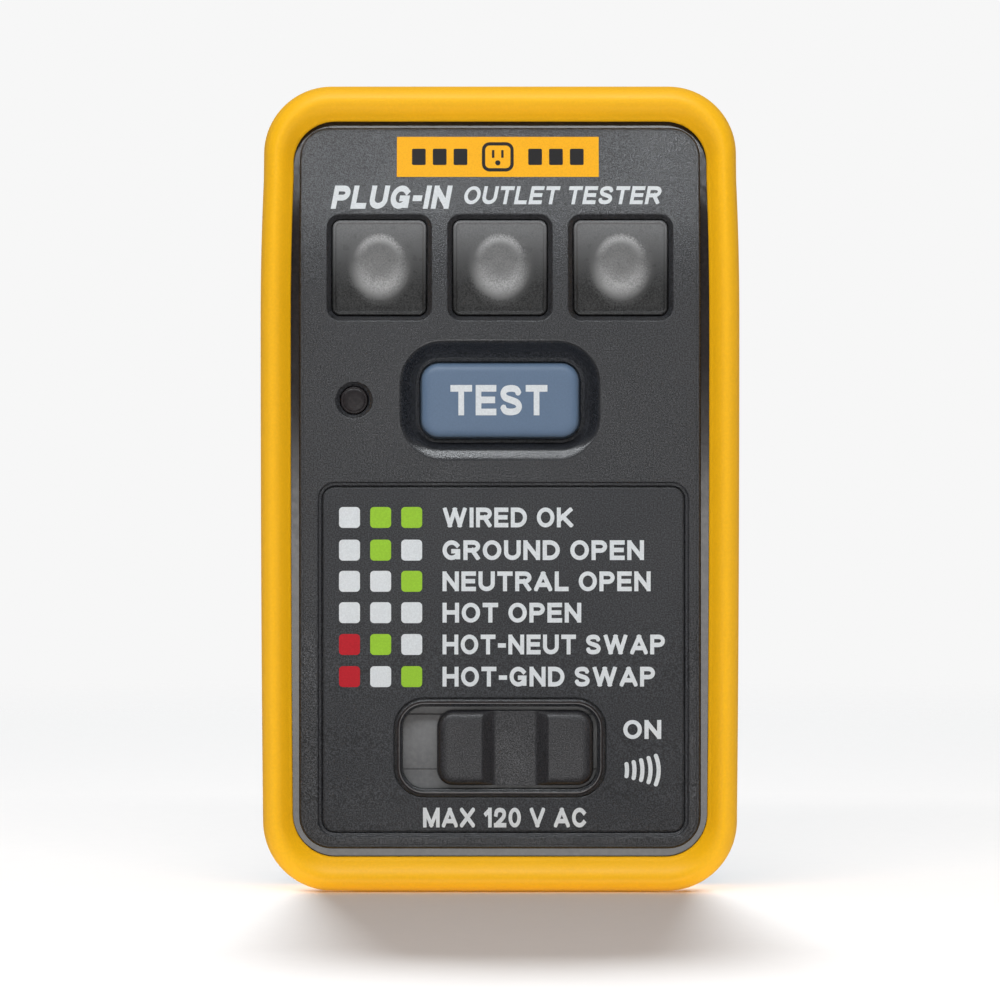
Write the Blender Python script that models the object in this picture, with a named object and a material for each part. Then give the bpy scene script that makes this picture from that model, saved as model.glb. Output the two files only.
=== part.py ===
"""Outlet tester plug: a case on three prongs, with indicator windows, a test button and a slide switch.

Metres, +Z up. The face looks along -Y and the prongs point along +Y. The origin lies on the flat back
face, midway between the two flat blades. Heights called v are measured up from the middle of the case.
"""

import math

import bmesh
import bpy
from mathutils import Matrix

MM = 0.001
GAP = 0.3 * MM  # clearance between neighbouring pieces
SHARP_ANGLE = math.radians(35)  # edges bent by more than this are shaded as sharp

# Case. An outline is (half width, top, bottom, top corner radius, bottom corner radius).
CASE_CENTRE_Z = -6.0 * MM
BUMPER_OUTER = (21.80 * MM, 36.75 * MM, -36.75 * MM, 6.2 * MM, 6.4 * MM)
BUMPER_INNER = (19.03 * MM, 33.45 * MM, -33.6 * MM, 3.8 * MM, 3.9 * MM)
PANEL = (18.20 * MM, 32.8 * MM, -32.8 * MM, 2.6 * MM, 2.9 * MM)
SHOULDER = (20.00 * MM, 34.8 * MM, -34.8 * MM, 4.0 * MM, 4.6 * MM)
CASE = (21.20 * MM, 36.0 * MM, -36.0 * MM, 5.2 * MM, 6.0 * MM)
CAVITY = (18.40 * MM, 33.2 * MM, -33.2 * MM, 3.2 * MM, 3.6 * MM)
WIDEST_V = 15.0 * MM  # from here the bumper's sides draw in towards both ends
DRAW_IN_TOP, DRAW_IN_TOP_REACH = 0.23 * MM, 13.0 * MM
DRAW_IN_LOW, DRAW_IN_LOW_REACH = 0.20 * MM, 45.0 * MM
SIDE_LEVELS = [v * MM for v in (27, 24, 22, 20, 18, 15, 12, 9, 4, -2, -7, -10, -13, -16, -20, -25)]

# Depths along Y, where 0 is the back face.
FACE_Y = -31.0 * MM
PANEL_THICKNESS = 2.4 * MM
LEDGE_DEPTH = 0.8 * MM
RIDGE_RISE = 1.8 * MM  # bumper's ridge above the panel
BUMPER_SECTION = [  # (share of the way from the outer edge to the inner, height above the panel)
    (0.0, -1.4 * MM), (0.04, -0.2 * MM), (0.16, 1.0 * MM), (0.33, 1.6 * MM), (0.48, RIDGE_RISE),
    (0.66, 1.35 * MM), (0.88, 0.4 * MM),
]
BUMPER_BACK_Y = -20.5 * MM
PARTING_Y = -12.0 * MM
BACK_WALL = 2.2 * MM
HOUSING_SECTION = [  # (inset from the case's outline, Y)
    (0.2 * MM, -9.0 * MM), (0.9 * MM, -2.2 * MM), (1.2 * MM, -0.8 * MM), (1.8 * MM, 0.0),
]

# The face is flat in the middle, tilts back towards the top and sags slightly towards the bottom.
TILT_START_V = 17.0 * MM
TILT_BLEND = 9.0 * MM
TILT_SLOPE = 0.22
SAG_START_V = -8.0 * MM
SAG_BLEND = 25.0 * MM
SAG_SLOPE = 0.04

# Grip: the bumper reaches further back in the middle of each side.
TONGUE_V = 1.0 * MM
TONGUE_HALF = 9.0 * MM
TONGUE_BLEND = 9.0 * MM
TONGUE_REACH = 5.5 * MM
GRIP_GROOVE_RADIUS = 0.6 * MM
BUMPER_GROOVES_Y = [y * MM for y in (-24.5, -22.0, -19.5)]
BUMPER_GROOVE_LENGTH = 19.0 * MM
HOUSING_GROOVES_Y = [y * MM for y in (-9.6, -7.6, -5.6)]
HOUSING_GROOVE_LENGTH = 26.0 * MM

# Indicator windows and lamps.
WINDOW_V = 20.0 * MM
WINDOW_PITCH = 10.97 * MM
WINDOW_WIDTH = 9.5 * MM
WINDOW_HEIGHT = 9.65 * MM
WINDOW_RADIUS = 1.2 * MM
LENS_INSET = 0.52 * MM  # lens edge inside the opening's outer edge
LENS_DEPTH = 0.5 * MM
LENS_THICKNESS = 1.2 * MM
LENS_BACK_Y = -26.6 * MM
LAMP_RADIUS = 2.5 * MM
LAMP_TIP_Y = -28.4 * MM
LAMP_BASE_Y = -19.4 * MM
BAFFLE_WIDTH = 34.4 * MM
BAFFLE_HEIGHT = 11.0 * MM
BAFFLE_BACK_Y = -20.8 * MM
BAFFLE_GAP = 0.7 * MM  # round each lamp
LEG_PITCH = 2.54 * MM
LEG_WIDTH = 0.5 * MM

# Test button in its dished well.
BUTTON_V = 7.93 * MM
BUTTON_WIDTH = 14.3 * MM
BUTTON_HEIGHT = 6.7 * MM
BUTTON_RADIUS = 1.6 * MM
BUTTON_RISE = 0.5 * MM
BUTTON_GAP = 0.35 * MM
WELL_WIDTH = 18.3 * MM
WELL_HEIGHT = 11.0 * MM
WELL_RADIUS = 4.0 * MM
WELL_DEPTH = 1.2 * MM

# Small round indicator.
INDICATOR_X = -13.26 * MM
INDICATOR_RADIUS = 1.25 * MM
INDICATOR_RIM_RADIUS = 1.68 * MM

# Legend overlay and slide switch.
LEGEND_V = -15.5 * MM
LEGEND_WIDTH = 33.3 * MM
LEGEND_HEIGHT = 31.6 * MM
LEGEND_THICKNESS = 0.45 * MM
LEGEND_GROOVE = 0.35 * MM
SWITCH_V = -23.65 * MM
SLOT_WIDTH = 17.7 * MM
SLOT_HEIGHT = 7.5 * MM
SLOT_RADIUS = 2.0 * MM
RIM_WIDTH = 0.7 * MM
RIM_RISE = 0.3 * MM
KNOB_X = 1.38 * MM  # at the "on" end of the slot
KNOB_WIDTH = 14.2 * MM
KNOB_HEIGHT = 6.8 * MM
KNOB_RADIUS = 1.5 * MM
KNOB_RISE = 1.0 * MM
KNOB_TRAVEL = 2.7 * MM  # towards -X
VALLEY_HALF = 3.15 * MM  # half width of the low middle, at the pads' edges
VALLEY_FLOOR_HALF = 1.8 * MM
VALLEY_DEPTH = 0.75 * MM
WEB = 1.45 * MM  # panel left over the shutter's track
SHUTTER_WIDTH = 21.4 * MM
SHUTTER_HEIGHT = 8.9 * MM
SHUTTER_THICKNESS = 0.8 * MM

# Circuit board. Parts stand GAP off both of its faces.
BOARD_FRONT_Y = -15.0 * MM
BOARD_BACK_Y = -13.4 * MM
BOARD_WIDTH = 35.8 * MM
BOARD_HEIGHT = 65.2 * MM

# Case screws.
SCREW_X = 15.7 * MM
SCREW_V = 30.4 * MM
POST_RADIUS = 3.2 * MM
POST_SETBACK = 0.2 * MM  # posts stop short of the shells' edges
SCREW_RADIUS = 1.05 * MM
SCREW_HEAD_RADIUS = 2.1 * MM
SCREW_HEAD_BACK_Y = -3.0 * MM
SCREW_SEAT_Y = -5.0 * MM
SCREW_TIP_Y = -20.0 * MM

# Prongs, by the standard three-slot outlet pattern.
BLADE_PITCH = 12.7 * MM
BLADE_WIDTH = 6.35 * MM
BLADE_THICKNESS = 1.52 * MM
BLADE_LENGTH = 18.0 * MM
BLADE_HOLE_RADIUS = 1.6 * MM
BLADE_HOLE_Y = 11.7 * MM
PIN_DROP = 11.9 * MM  # ground pin below the blades
PIN_RADIUS = 2.375 * MM
PIN_LENGTH = 21.4 * MM
PRONG_TAIL_Y = BOARD_BACK_Y + GAP
CARRIER_FRONT_Y = -6.6 * MM
CARRIER_WIDTH = 21.0 * MM
CARRIER_HEIGHT = 22.0 * MM
BLADE_V = -CASE_CENTRE_Z
PIN_V = BLADE_V - PIN_DROP

BUZZER_V = -24.0 * MM
BUZZER_RADIUS = 4.6 * MM
BUZZER_BACK_Y = -7.0 * MM
SOUND_SLOT_WIDTH = 1.2 * MM
SOUND_SLOT_HEIGHT = 6.0 * MM
SOUND_SLOT_PITCH = 2.4 * MM
LABEL_V = 21.0 * MM
LABEL_WIDTH = 24.0 * MM
LABEL_HEIGHT = 11.0 * MM
LABEL_THICKNESS = 0.25 * MM


# ---------------------------------------------------------------- shapes

def drop(v):
    """How far the face falls back at height v."""
    above = max(v - TILT_START_V, 0)
    blend = min(above, TILT_BLEND)
    below = max(SAG_START_V - v, 0)
    tilt = TILT_SLOPE * (blend * blend / (2 * TILT_BLEND) + above - blend)
    return tilt + SAG_SLOPE * below * below / (2 * SAG_BLEND)


def behind_face(depth, centre_v=0):
    """The Y of a surface this deep behind the face, as a function of height above centre_v."""
    return lambda v: FACE_Y + depth + drop(v + centre_v)


def bumper_back(v, extra=0):
    """The Y of the bumper's rear edge, further back in the middle of the sides."""
    near = (TONGUE_HALF + TONGUE_BLEND - abs(v - TONGUE_V)) / TONGUE_BLEND
    near = min(max(near, 0), 1)
    return BUMPER_BACK_Y + extra + TONGUE_REACH * near * near * (3 - 2 * near)


def rect(width, height, radius):
    return (width / 2, height / 2, -height / 2, radius, radius)


def grown(shape, by):
    half_width, top, bottom, top_radius, bottom_radius = shape
    return (half_width + by, top + by, bottom - by, top_radius + by, bottom_radius + by)


def mixed(first, second, share):
    return tuple(a + (b - a) * share for a, b in zip(first, second))


def outline(shape, levels=(), arc_steps=5):
    """(x, v) points down the right side of a rounded rectangle, then up its left side."""
    half_width, top, bottom, top_radius, bottom_radius = shape
    quarter = [math.pi / 2 * i / arc_steps for i in range(arc_steps + 1)]
    right = [
        (half_width - top_radius * (1 - math.sin(a)), top - top_radius * (1 - math.cos(a))) for a in quarter
    ]
    right += [(half_width, v) for v in levels]
    right += [
        (half_width - bottom_radius * (1 - math.cos(a)), bottom + bottom_radius * (1 - math.sin(a)))
        for a in quarter
    ]
    return right + [(-x, v) for x, v in reversed(right)]


def ring(points, depth):
    """Places (x, v) points in space; depth is a Y value or a function of v."""
    return [(x, depth(v) if callable(depth) else depth, v) for x, v in points]


def loft(rings, loop=False):
    """A closed skin through rings; a loop joins the last to the first, otherwise both ends are capped."""
    mesh = bmesh.new()
    rows = [[mesh.verts.new(point) for point in points] for points in rings]
    following = rows[1:] + rows[:1] if loop else rows[1:]
    for row, after in zip(rows, following):
        for i in range(len(row)):
            j = (i + 1) % len(row)
            mesh.faces.new((row[i], row[j], after[j], after[i]))
    if not loop:
        for row in (rows[0], rows[-1]):
            for i in range(len(row) // 2 - 1):
                mesh.faces.new((row[i], row[i + 1], row[-2 - i], row[-1 - i]))
    bmesh.ops.recalc_face_normals(mesh, faces=mesh.faces)
    return mesh


def prism(shape, front_y, back_y, levels=()):
    points = outline(shape, levels)
    return loft([ring(points, front_y), ring(points, back_y)])


def block(width, height, front_y, back_y):
    """A plain box: width along X, height along v."""
    x, v = width / 2, height / 2
    corners = [(x, v), (x, -v), (-x, -v), (-x, v)]
    return loft([ring(corners, front_y), ring(corners, back_y)])


def turned(profile, steps=20):
    """A solid of revolution about Y, from (radius, y) pairs that start and end on the axis."""
    mesh = bmesh.new()
    rows = []
    for radius, y in profile:
        if radius == 0:
            rows.append([mesh.verts.new((0, y, 0))] * steps)
            continue
        angles = [math.tau * i / steps for i in range(steps)]
        rows.append([mesh.verts.new((radius * math.cos(a), y, radius * math.sin(a))) for a in angles])
    for row, after in zip(rows, rows[1:]):
        for i in range(steps):
            j = (i + 1) % steps
            corners = list(dict.fromkeys((row[i], row[j], after[j], after[i])))
            if len(corners) > 2:
                mesh.faces.new(corners)
    bmesh.ops.recalc_face_normals(mesh, faces=mesh.faces)
    return mesh


def cylinder(radius, front_y, back_y, steps=20):
    return turned([(0, front_y), (radius, front_y), (radius, back_y), (0, back_y)], steps)


# ---------------------------------------------------------------- objects

for old in list(bpy.data.objects):
    bpy.data.objects.remove(old)

case_centre = bpy.data.objects.new("case_centre", None)
case_centre.location = (0, 0, CASE_CENTRE_Z)
bpy.context.scene.collection.objects.link(case_centre)


def finish(name, colour, roughness, metallic=0.0):
    """A Principled material for one piece."""
    material = bpy.data.materials.new(name)
    material.use_nodes = True
    shader = material.node_tree.nodes["Principled BSDF"]
    shader.inputs["Base Color"].default_value = (*colour, 1)
    shader.inputs["Roughness"].default_value = roughness
    shader.inputs["Metallic"].default_value = metallic
    return material


def place(name, mesh, x=0, y=0, v=0):
    """A new object from a bmesh, at (x, y, v) from the middle of the case."""
    data = bpy.data.meshes.new(name)
    mesh.to_mesh(data)
    mesh.free()
    data.shade_smooth()
    data.set_sharp_from_angle(angle=SHARP_ANGLE)
    item = bpy.data.objects.new(name, data)
    item.parent = case_centre
    item.location = (x, y, v)
    bpy.context.scene.collection.objects.link(item)
    return item


def piece(name, mesh, colour, roughness, metallic=0.0, x=0, y=0, v=0):
    item = place(name, mesh, x, y, v)
    item.data.materials.append(finish(name, colour, roughness, metallic))
    return item


def moved(mesh, x=0, y=0, v=0, turn=0, about="X"):
    mesh.transform(Matrix.Translation((x, y, v)) @ Matrix.Rotation(turn, 4, about))
    return mesh


def joined(meshes):
    """Several shapes as one mesh, so that one Boolean takes them all."""
    whole = bmesh.new()
    for mesh in meshes:
        data = bpy.data.meshes.new("joined")
        mesh.to_mesh(data)
        mesh.free()
        whole.from_mesh(data)
        bpy.data.meshes.remove(data)
    return whole


def combine(item, operation, mesh):
    """Cuts a shape from a piece (DIFFERENCE) or adds it (UNION), through a hidden helper."""
    helper = place(f"{item.name}_helper", mesh)
    helper.hide_render = True
    helper.display_type = "WIRE"
    modifier = item.modifiers.new(operation.title(), "BOOLEAN")
    modifier.operation = operation
    modifier.solver = "EXACT"
    modifier.object = helper


def cut(item, *meshes):
    combine(item, "DIFFERENCE", joined(meshes))


def add(item, *meshes):
    combine(item, "UNION", joined(meshes))


WINDOWS = {"left": -WINDOW_PITCH, "centre": 0.0, "right": WINDOW_PITCH}
SCREW_CORNERS = [(x, v) for v in (SCREW_V, -SCREW_V) for x in (-SCREW_X, SCREW_X)]
QUARTER_TURN = math.pi / 2
WINDOW_LEVELS = [v * MM for v in (2.2, 0.0, -2.2)]
LEGEND_LEVELS = [v * MM for v in (10, 6, 2, -2, -6, -10)]
SLOT = rect(SLOT_WIDTH, SLOT_HEIGHT, SLOT_RADIUS)
SLOT_LIP = 0.15 * MM

DARK_PLASTIC = (0.065, 0.066, 0.072)
BLACK_PLASTIC = (0.02, 0.02, 0.022)
PLATED_BRASS = (0.78, 0.72, 0.55)
NICKEL = (0.66, 0.65, 0.62)
CERAMIC = (0.72, 0.68, 0.6)
SMOKE = (0.16, 0.16, 0.165)
LAMP_EPOXY = (0.75, 0.76, 0.74)


# ---------------------------------------------------------------- case

def front_cover():
    panel_edge = 0.2 * MM
    shoulder = outline(SHOULDER, SIDE_LEVELS)
    case = outline(CASE, SIDE_LEVELS)
    cavity = outline(CAVITY, SIDE_LEVELS)
    rear_y = PARTING_Y - GAP / 2
    cover = piece("front_cover", loft([
        ring(outline(grown(PANEL, -panel_edge), SIDE_LEVELS), behind_face(0)),
        ring(outline(PANEL, SIDE_LEVELS), behind_face(panel_edge)),
        ring(outline(PANEL, SIDE_LEVELS), behind_face(LEDGE_DEPTH)),
        ring(shoulder, behind_face(LEDGE_DEPTH)),
        ring(shoulder, lambda v: bumper_back(v, GAP)),
        ring(case, lambda v: bumper_back(v, GAP)),
        ring(case, rear_y),
        ring(cavity, rear_y),
        ring(cavity, behind_face(PANEL_THICKNESS)),
    ]), DARK_PLASTIC, 0.6)
    cut(cover, legend_bed())
    posts = [moved(screw_post(v, rear_y - POST_SETBACK), x=x, v=v) for x, v in SCREW_CORNERS]
    add(cover, slot_rim(), *posts)
    windows = [moved(window_opening(), x=x, v=WINDOW_V) for x in WINDOWS.values()]
    cut(cover, switch_slot(), button_well(), indicator_hole(), *windows)
    cut(cover, shutter_track())


def screw_post(v, end_y):
    """A post with a blind bore, rooted in the middle of the panel's thickness."""
    root_y = behind_face(PANEL_THICKNESS / 2)(v)
    bore = SCREW_RADIUS + GAP
    bore_end_y = SCREW_TIP_Y - 1.5 * MM
    return turned([
        (0, root_y), (POST_RADIUS, root_y), (POST_RADIUS, end_y),
        (bore, end_y), (bore, bore_end_y), (0, bore_end_y),
    ])


def legend_bed():
    bed = rect(LEGEND_WIDTH + 2 * LEGEND_GROOVE, LEGEND_HEIGHT + 2 * LEGEND_GROOVE, 1.4 * MM)
    return moved(prism(
        bed, behind_face(-MM, LEGEND_V), behind_face(LEGEND_THICKNESS + GAP, LEGEND_V), LEGEND_LEVELS,
    ), v=LEGEND_V)


def slot_rim():
    rim = grown(SLOT, RIM_WIDTH)
    return moved(loft([
        ring(outline(grown(rim, -SLOT_LIP)), behind_face(-RIM_RISE, SWITCH_V)),
        ring(outline(rim), behind_face(SLOT_LIP - RIM_RISE, SWITCH_V)),
        ring(outline(rim), behind_face(PANEL_THICKNESS / 2, SWITCH_V)),
    ]), v=SWITCH_V)


def switch_slot():
    return moved(loft([
        ring(outline(grown(SLOT, SLOT_LIP)), behind_face(-RIM_RISE - MM, SWITCH_V)),
        ring(outline(grown(SLOT, SLOT_LIP)), behind_face(-RIM_RISE, SWITCH_V)),
        ring(outline(SLOT), behind_face(SLOT_LIP - RIM_RISE, SWITCH_V)),
        ring(outline(SLOT), behind_face(2 * PANEL_THICKNESS, SWITCH_V)),
    ]), v=SWITCH_V)


def shutter_track():
    """The recess behind the panel that the shutter slides in."""
    track = rect(SHUTTER_WIDTH + KNOB_TRAVEL + 3 * GAP, SHUTTER_HEIGHT + 2 * GAP, 1.2 * MM)
    return moved(prism(track, behind_face(WEB, SWITCH_V), behind_face(2 * PANEL_THICKNESS, SWITCH_V)),
                 v=SWITCH_V)


def indicator_hole():
    hole = INDICATOR_RADIUS + GAP
    inside_y = FACE_Y + 2 * PANEL_THICKNESS
    return moved(turned([
        (0, FACE_Y - MM), (INDICATOR_RIM_RADIUS, FACE_Y - MM), (INDICATOR_RIM_RADIUS, FACE_Y),
        (hole, FACE_Y + 0.3 * MM), (hole, inside_y), (0, inside_y),
    ]), x=INDICATOR_X, v=BUTTON_V)


def window_opening():
    outer = rect(WINDOW_WIDTH, WINDOW_HEIGHT, WINDOW_RADIUS)
    inner = grown(outer, GAP - LENS_INSET)
    return loft([
        ring(outline(outer, WINDOW_LEVELS), behind_face(-MM, WINDOW_V)),
        ring(outline(outer, WINDOW_LEVELS), behind_face(0, WINDOW_V)),
        ring(outline(inner, WINDOW_LEVELS), behind_face(LENS_DEPTH, WINDOW_V)),
        ring(outline(inner, WINDOW_LEVELS), behind_face(2 * PANEL_THICKNESS, WINDOW_V)),
    ])


def button_well():
    """The dish and the button's opening in its floor, as one cutter."""
    rim = rect(WELL_WIDTH, WELL_HEIGHT, WELL_RADIUS)
    opening = rect(BUTTON_WIDTH + 2 * BUTTON_GAP, BUTTON_HEIGHT + 2 * BUTTON_GAP, BUTTON_RADIUS + BUTTON_GAP)
    floor = grown(opening, 0.3 * MM)
    return moved(loft([
        ring(outline(rim), FACE_Y - MM),
        ring(outline(rim), FACE_Y),
        ring(outline(mixed(rim, floor, 0.2)), FACE_Y + 0.12 * WELL_DEPTH),
        ring(outline(mixed(rim, floor, 0.75)), FACE_Y + 0.85 * WELL_DEPTH),
        ring(outline(floor), FACE_Y + WELL_DEPTH),
        ring(outline(opening), FACE_Y + WELL_DEPTH),
        ring(outline(opening), FACE_Y + 2 * PANEL_THICKNESS),
    ]), v=BUTTON_V)


def drawn_in(points):
    """An outline whose sides draw in towards its ends."""
    drawn = []
    for x, v in points:
        if v > WIDEST_V:
            amount = DRAW_IN_TOP * min((v - WIDEST_V) / DRAW_IN_TOP_REACH, 1) ** 2
        else:
            amount = DRAW_IN_LOW * min((WIDEST_V - v) / DRAW_IN_LOW_REACH, 1) ** 2
        drawn.append((x * (1 - amount / BUMPER_OUTER[0]), v))
    return drawn


def bumper():
    """A soft ring: outer skirt, rounded ridge, and an inner slope that ends over the cover's ledge."""
    outer = drawn_in(outline(BUMPER_OUTER, SIDE_LEVELS))
    inner = drawn_in(outline(BUMPER_INNER, SIDE_LEVELS))
    sleeve = outline(grown(SHOULDER, GAP), SIDE_LEVELS)

    def across(share, rise):
        """A ring this share of the way from the outer edge to the inner, this high above the panel."""
        points = [mixed(a, b, share) for a, b in zip(outer, inner)]
        return ring(points, behind_face(-rise))

    foot = behind_face(LEDGE_DEPTH - GAP)
    ring_mesh = loft([
        ring(outer, bumper_back),
        *[across(share, rise) for share, rise in BUMPER_SECTION],
        ring(inner, foot),
        ring(sleeve, foot),
        ring(sleeve, bumper_back),
    ], loop=True)
    item = piece("bumper", ring_mesh, (0.94, 0.52, 0.02), 0.45)
    cut(item, *grip_grooves(BUMPER_OUTER[0] + 0.1 * MM, BUMPER_GROOVE_LENGTH, BUMPER_GROOVES_Y))


def grip_grooves(x, length, depths):
    """Upright rods at both sides of the case, to cut finger grooves with."""
    return [
        moved(cylinder(GRIP_GROOVE_RADIUS, -length / 2, length / 2, 12), side * x, y, TONGUE_V, QUARTER_TURN)
        for side in (-1, 1) for y in depths
    ]


def rear_housing():
    """The back shell, open to the front, with a drafted wall and a bevelled rear edge."""
    front_y = PARTING_Y + GAP / 2
    cavity = outline(CAVITY, SIDE_LEVELS)
    housing = piece("rear_housing", loft([
        ring(cavity, -BACK_WALL),
        ring(cavity, front_y),
        ring(outline(CASE, SIDE_LEVELS), front_y),
        *[ring(outline(grown(CASE, -inset), SIDE_LEVELS), y) for inset, y in HOUSING_SECTION],
    ]), DARK_PLASTIC, 0.6)
    add(housing, *[
        moved(cylinder(POST_RADIUS, front_y + POST_SETBACK, -BACK_WALL / 2), x=x, v=v)
        for x, v in SCREW_CORNERS
    ])
    bed = rect(LABEL_WIDTH + 2 * GAP, LABEL_HEIGHT + 2 * GAP, 1.3 * MM)
    sound_slot = rect(SOUND_SLOT_WIDTH, SOUND_SLOT_HEIGHT, 0.5 * MM)
    cut(housing,
        *[moved(screw_well(front_y), x=x, v=v) for x, v in SCREW_CORNERS],
        *[moved(prism(sound_slot, -2 * BACK_WALL, MM), x=SOUND_SLOT_PITCH * i, v=BUZZER_V)
          for i in range(-2, 3)],
        *prong_slots(-2 * BACK_WALL),
        *grip_grooves(CASE[0] - 0.2 * MM, HOUSING_GROOVE_LENGTH, HOUSING_GROOVES_Y),
        moved(prism(bed, -LABEL_THICKNESS - 1.5 * GAP, MM), v=LABEL_V))


def screw_well(front_y):
    """A stepped hole for a screw's shank and head."""
    bore = SCREW_RADIUS + GAP
    well = SCREW_HEAD_RADIUS + GAP
    return turned([
        (0, front_y - MM), (bore, front_y - MM), (bore, SCREW_SEAT_Y),
        (well, SCREW_SEAT_Y), (well, MM), (0, MM),
    ])


def prong_slots(front_y):
    """Cutters for the openings round the three prongs, through to behind the back face."""
    blade = [
        moved(block(BLADE_THICKNESS + 2 * GAP, BLADE_WIDTH + 2 * GAP, front_y, MM),
              x=side * BLADE_PITCH / 2, v=BLADE_V)
        for side in (-1, 1)
    ]
    return blade + [moved(cylinder(PIN_RADIUS + GAP, front_y, MM), v=PIN_V)]


def case_screws():
    for number, (x, v) in enumerate(SCREW_CORNERS, 1):
        seat_y = SCREW_SEAT_Y + GAP
        screw = piece(f"case_screw_{number}", turned([
            (0, SCREW_TIP_Y), (0.4 * SCREW_RADIUS, SCREW_TIP_Y + 0.4 * MM),
            (SCREW_RADIUS, SCREW_TIP_Y + 2 * MM), (SCREW_RADIUS, seat_y),
            (SCREW_HEAD_RADIUS, seat_y), (SCREW_HEAD_RADIUS, SCREW_HEAD_BACK_Y - 0.7 * MM),
            (0.75 * SCREW_HEAD_RADIUS, SCREW_HEAD_BACK_Y - 0.15 * MM), (0, SCREW_HEAD_BACK_Y),
        ], 16), NICKEL, 0.3, 1.0, x=x, v=v)
        for long_side, short_side in ((2.4 * MM, 0.6 * MM), (0.6 * MM, 2.4 * MM)):
            slot = block(long_side, short_side, SCREW_HEAD_BACK_Y - 0.95 * MM, SCREW_HEAD_BACK_Y + MM)
            cut(screw, moved(slot, x=x, v=v))


# ---------------------------------------------------------------- face parts

def window_lenses():
    edge = rect(WINDOW_WIDTH - 2 * LENS_INSET, WINDOW_HEIGHT - 2 * LENS_INSET, 0.8 * MM)
    flange = grown(edge, 0.9 * MM)
    pocket = grown(edge, -0.8 * MM)
    bevel = 0.12 * MM
    seat = PANEL_THICKNESS + GAP
    for side, x in WINDOWS.items():
        lens = piece(f"window_lens_{side}", loft([
            ring(outline(grown(edge, -bevel), WINDOW_LEVELS), behind_face(LENS_DEPTH, WINDOW_V)),
            ring(outline(edge, WINDOW_LEVELS), behind_face(LENS_DEPTH + bevel, WINDOW_V)),
            ring(outline(edge, WINDOW_LEVELS), behind_face(seat, WINDOW_V)),
            ring(outline(flange, WINDOW_LEVELS), behind_face(seat, WINDOW_V)),
            ring(outline(flange, WINDOW_LEVELS), LENS_BACK_Y),
        ]), SMOKE, 0.35, x=x, v=WINDOW_V)
        pocket_face = behind_face(LENS_DEPTH + LENS_THICKNESS, WINDOW_V)
        cut(lens, moved(prism(pocket, pocket_face, LENS_BACK_Y + MM, WINDOW_LEVELS), x=x, v=WINDOW_V))


def lamps():
    """Domed lamps, each on two legs down to the board."""
    collar = LAMP_RADIUS + 0.4 * MM
    dome = [(LAMP_RADIUS * math.sin(a), LAMP_TIP_Y + LAMP_RADIUS * (1 - math.cos(a)))
            for a in (math.pi / 2 * i / 5 for i in range(6))]
    dome[0] = (0, LAMP_TIP_Y)
    for side, x in WINDOWS.items():
        lamp = piece(f"led_{side}", turned(dome + [
            (LAMP_RADIUS, LAMP_BASE_Y - MM), (collar, LAMP_BASE_Y - MM), (collar, LAMP_BASE_Y),
            (0, LAMP_BASE_Y),
        ], 18), LAMP_EPOXY, 0.3, x=x, v=WINDOW_V)
        add(lamp, *[
            moved(block(LEG_WIDTH, LEG_WIDTH, LAMP_BASE_Y - MM / 2, BOARD_FRONT_Y - GAP),
                  x=x + leg * LEG_PITCH / 2, v=WINDOW_V)
            for leg in (-1, 1)
        ])


def light_baffle():
    front_y = LENS_BACK_Y + 0.4 * MM
    baffle = piece("light_baffle", prism(rect(BAFFLE_WIDTH, BAFFLE_HEIGHT, 1.5 * MM), front_y, BAFFLE_BACK_Y),
                   BLACK_PLASTIC, 0.7, v=WINDOW_V)
    cut(baffle, *[
        moved(cylinder(LAMP_RADIUS + BAFFLE_GAP, front_y - MM, BAFFLE_BACK_Y + MM), x=x, v=WINDOW_V)
        for x in WINDOWS.values()
    ])


def indicator():
    """A lens that is also the light guide down to its small lamp on the board."""
    seat_y = FACE_Y + PANEL_THICKNESS + GAP
    flange_back_y = seat_y + 0.8 * MM
    guide_end_y = BOARD_FRONT_Y - 1.5 * MM
    flange = 2.0 * MM
    guide = 1.0 * MM
    piece("indicator_lens", turned([
        (0, FACE_Y + 0.05 * MM), (0.8 * INDICATOR_RADIUS, FACE_Y + 0.12 * MM),
        (INDICATOR_RADIUS, FACE_Y + 0.3 * MM), (INDICATOR_RADIUS, seat_y), (flange, seat_y),
        (flange, flange_back_y), (guide, flange_back_y), (guide, guide_end_y), (0, guide_end_y),
    ], 24), BLACK_PLASTIC, 0.25, x=INDICATOR_X, v=BUTTON_V)
    piece("indicator_led", block(2.0 * MM, 1.3 * MM, BOARD_FRONT_Y - 1.1 * MM, BOARD_FRONT_Y - GAP),
          LAMP_EPOXY, 0.4, x=INDICATOR_X, v=BUTTON_V)


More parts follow.
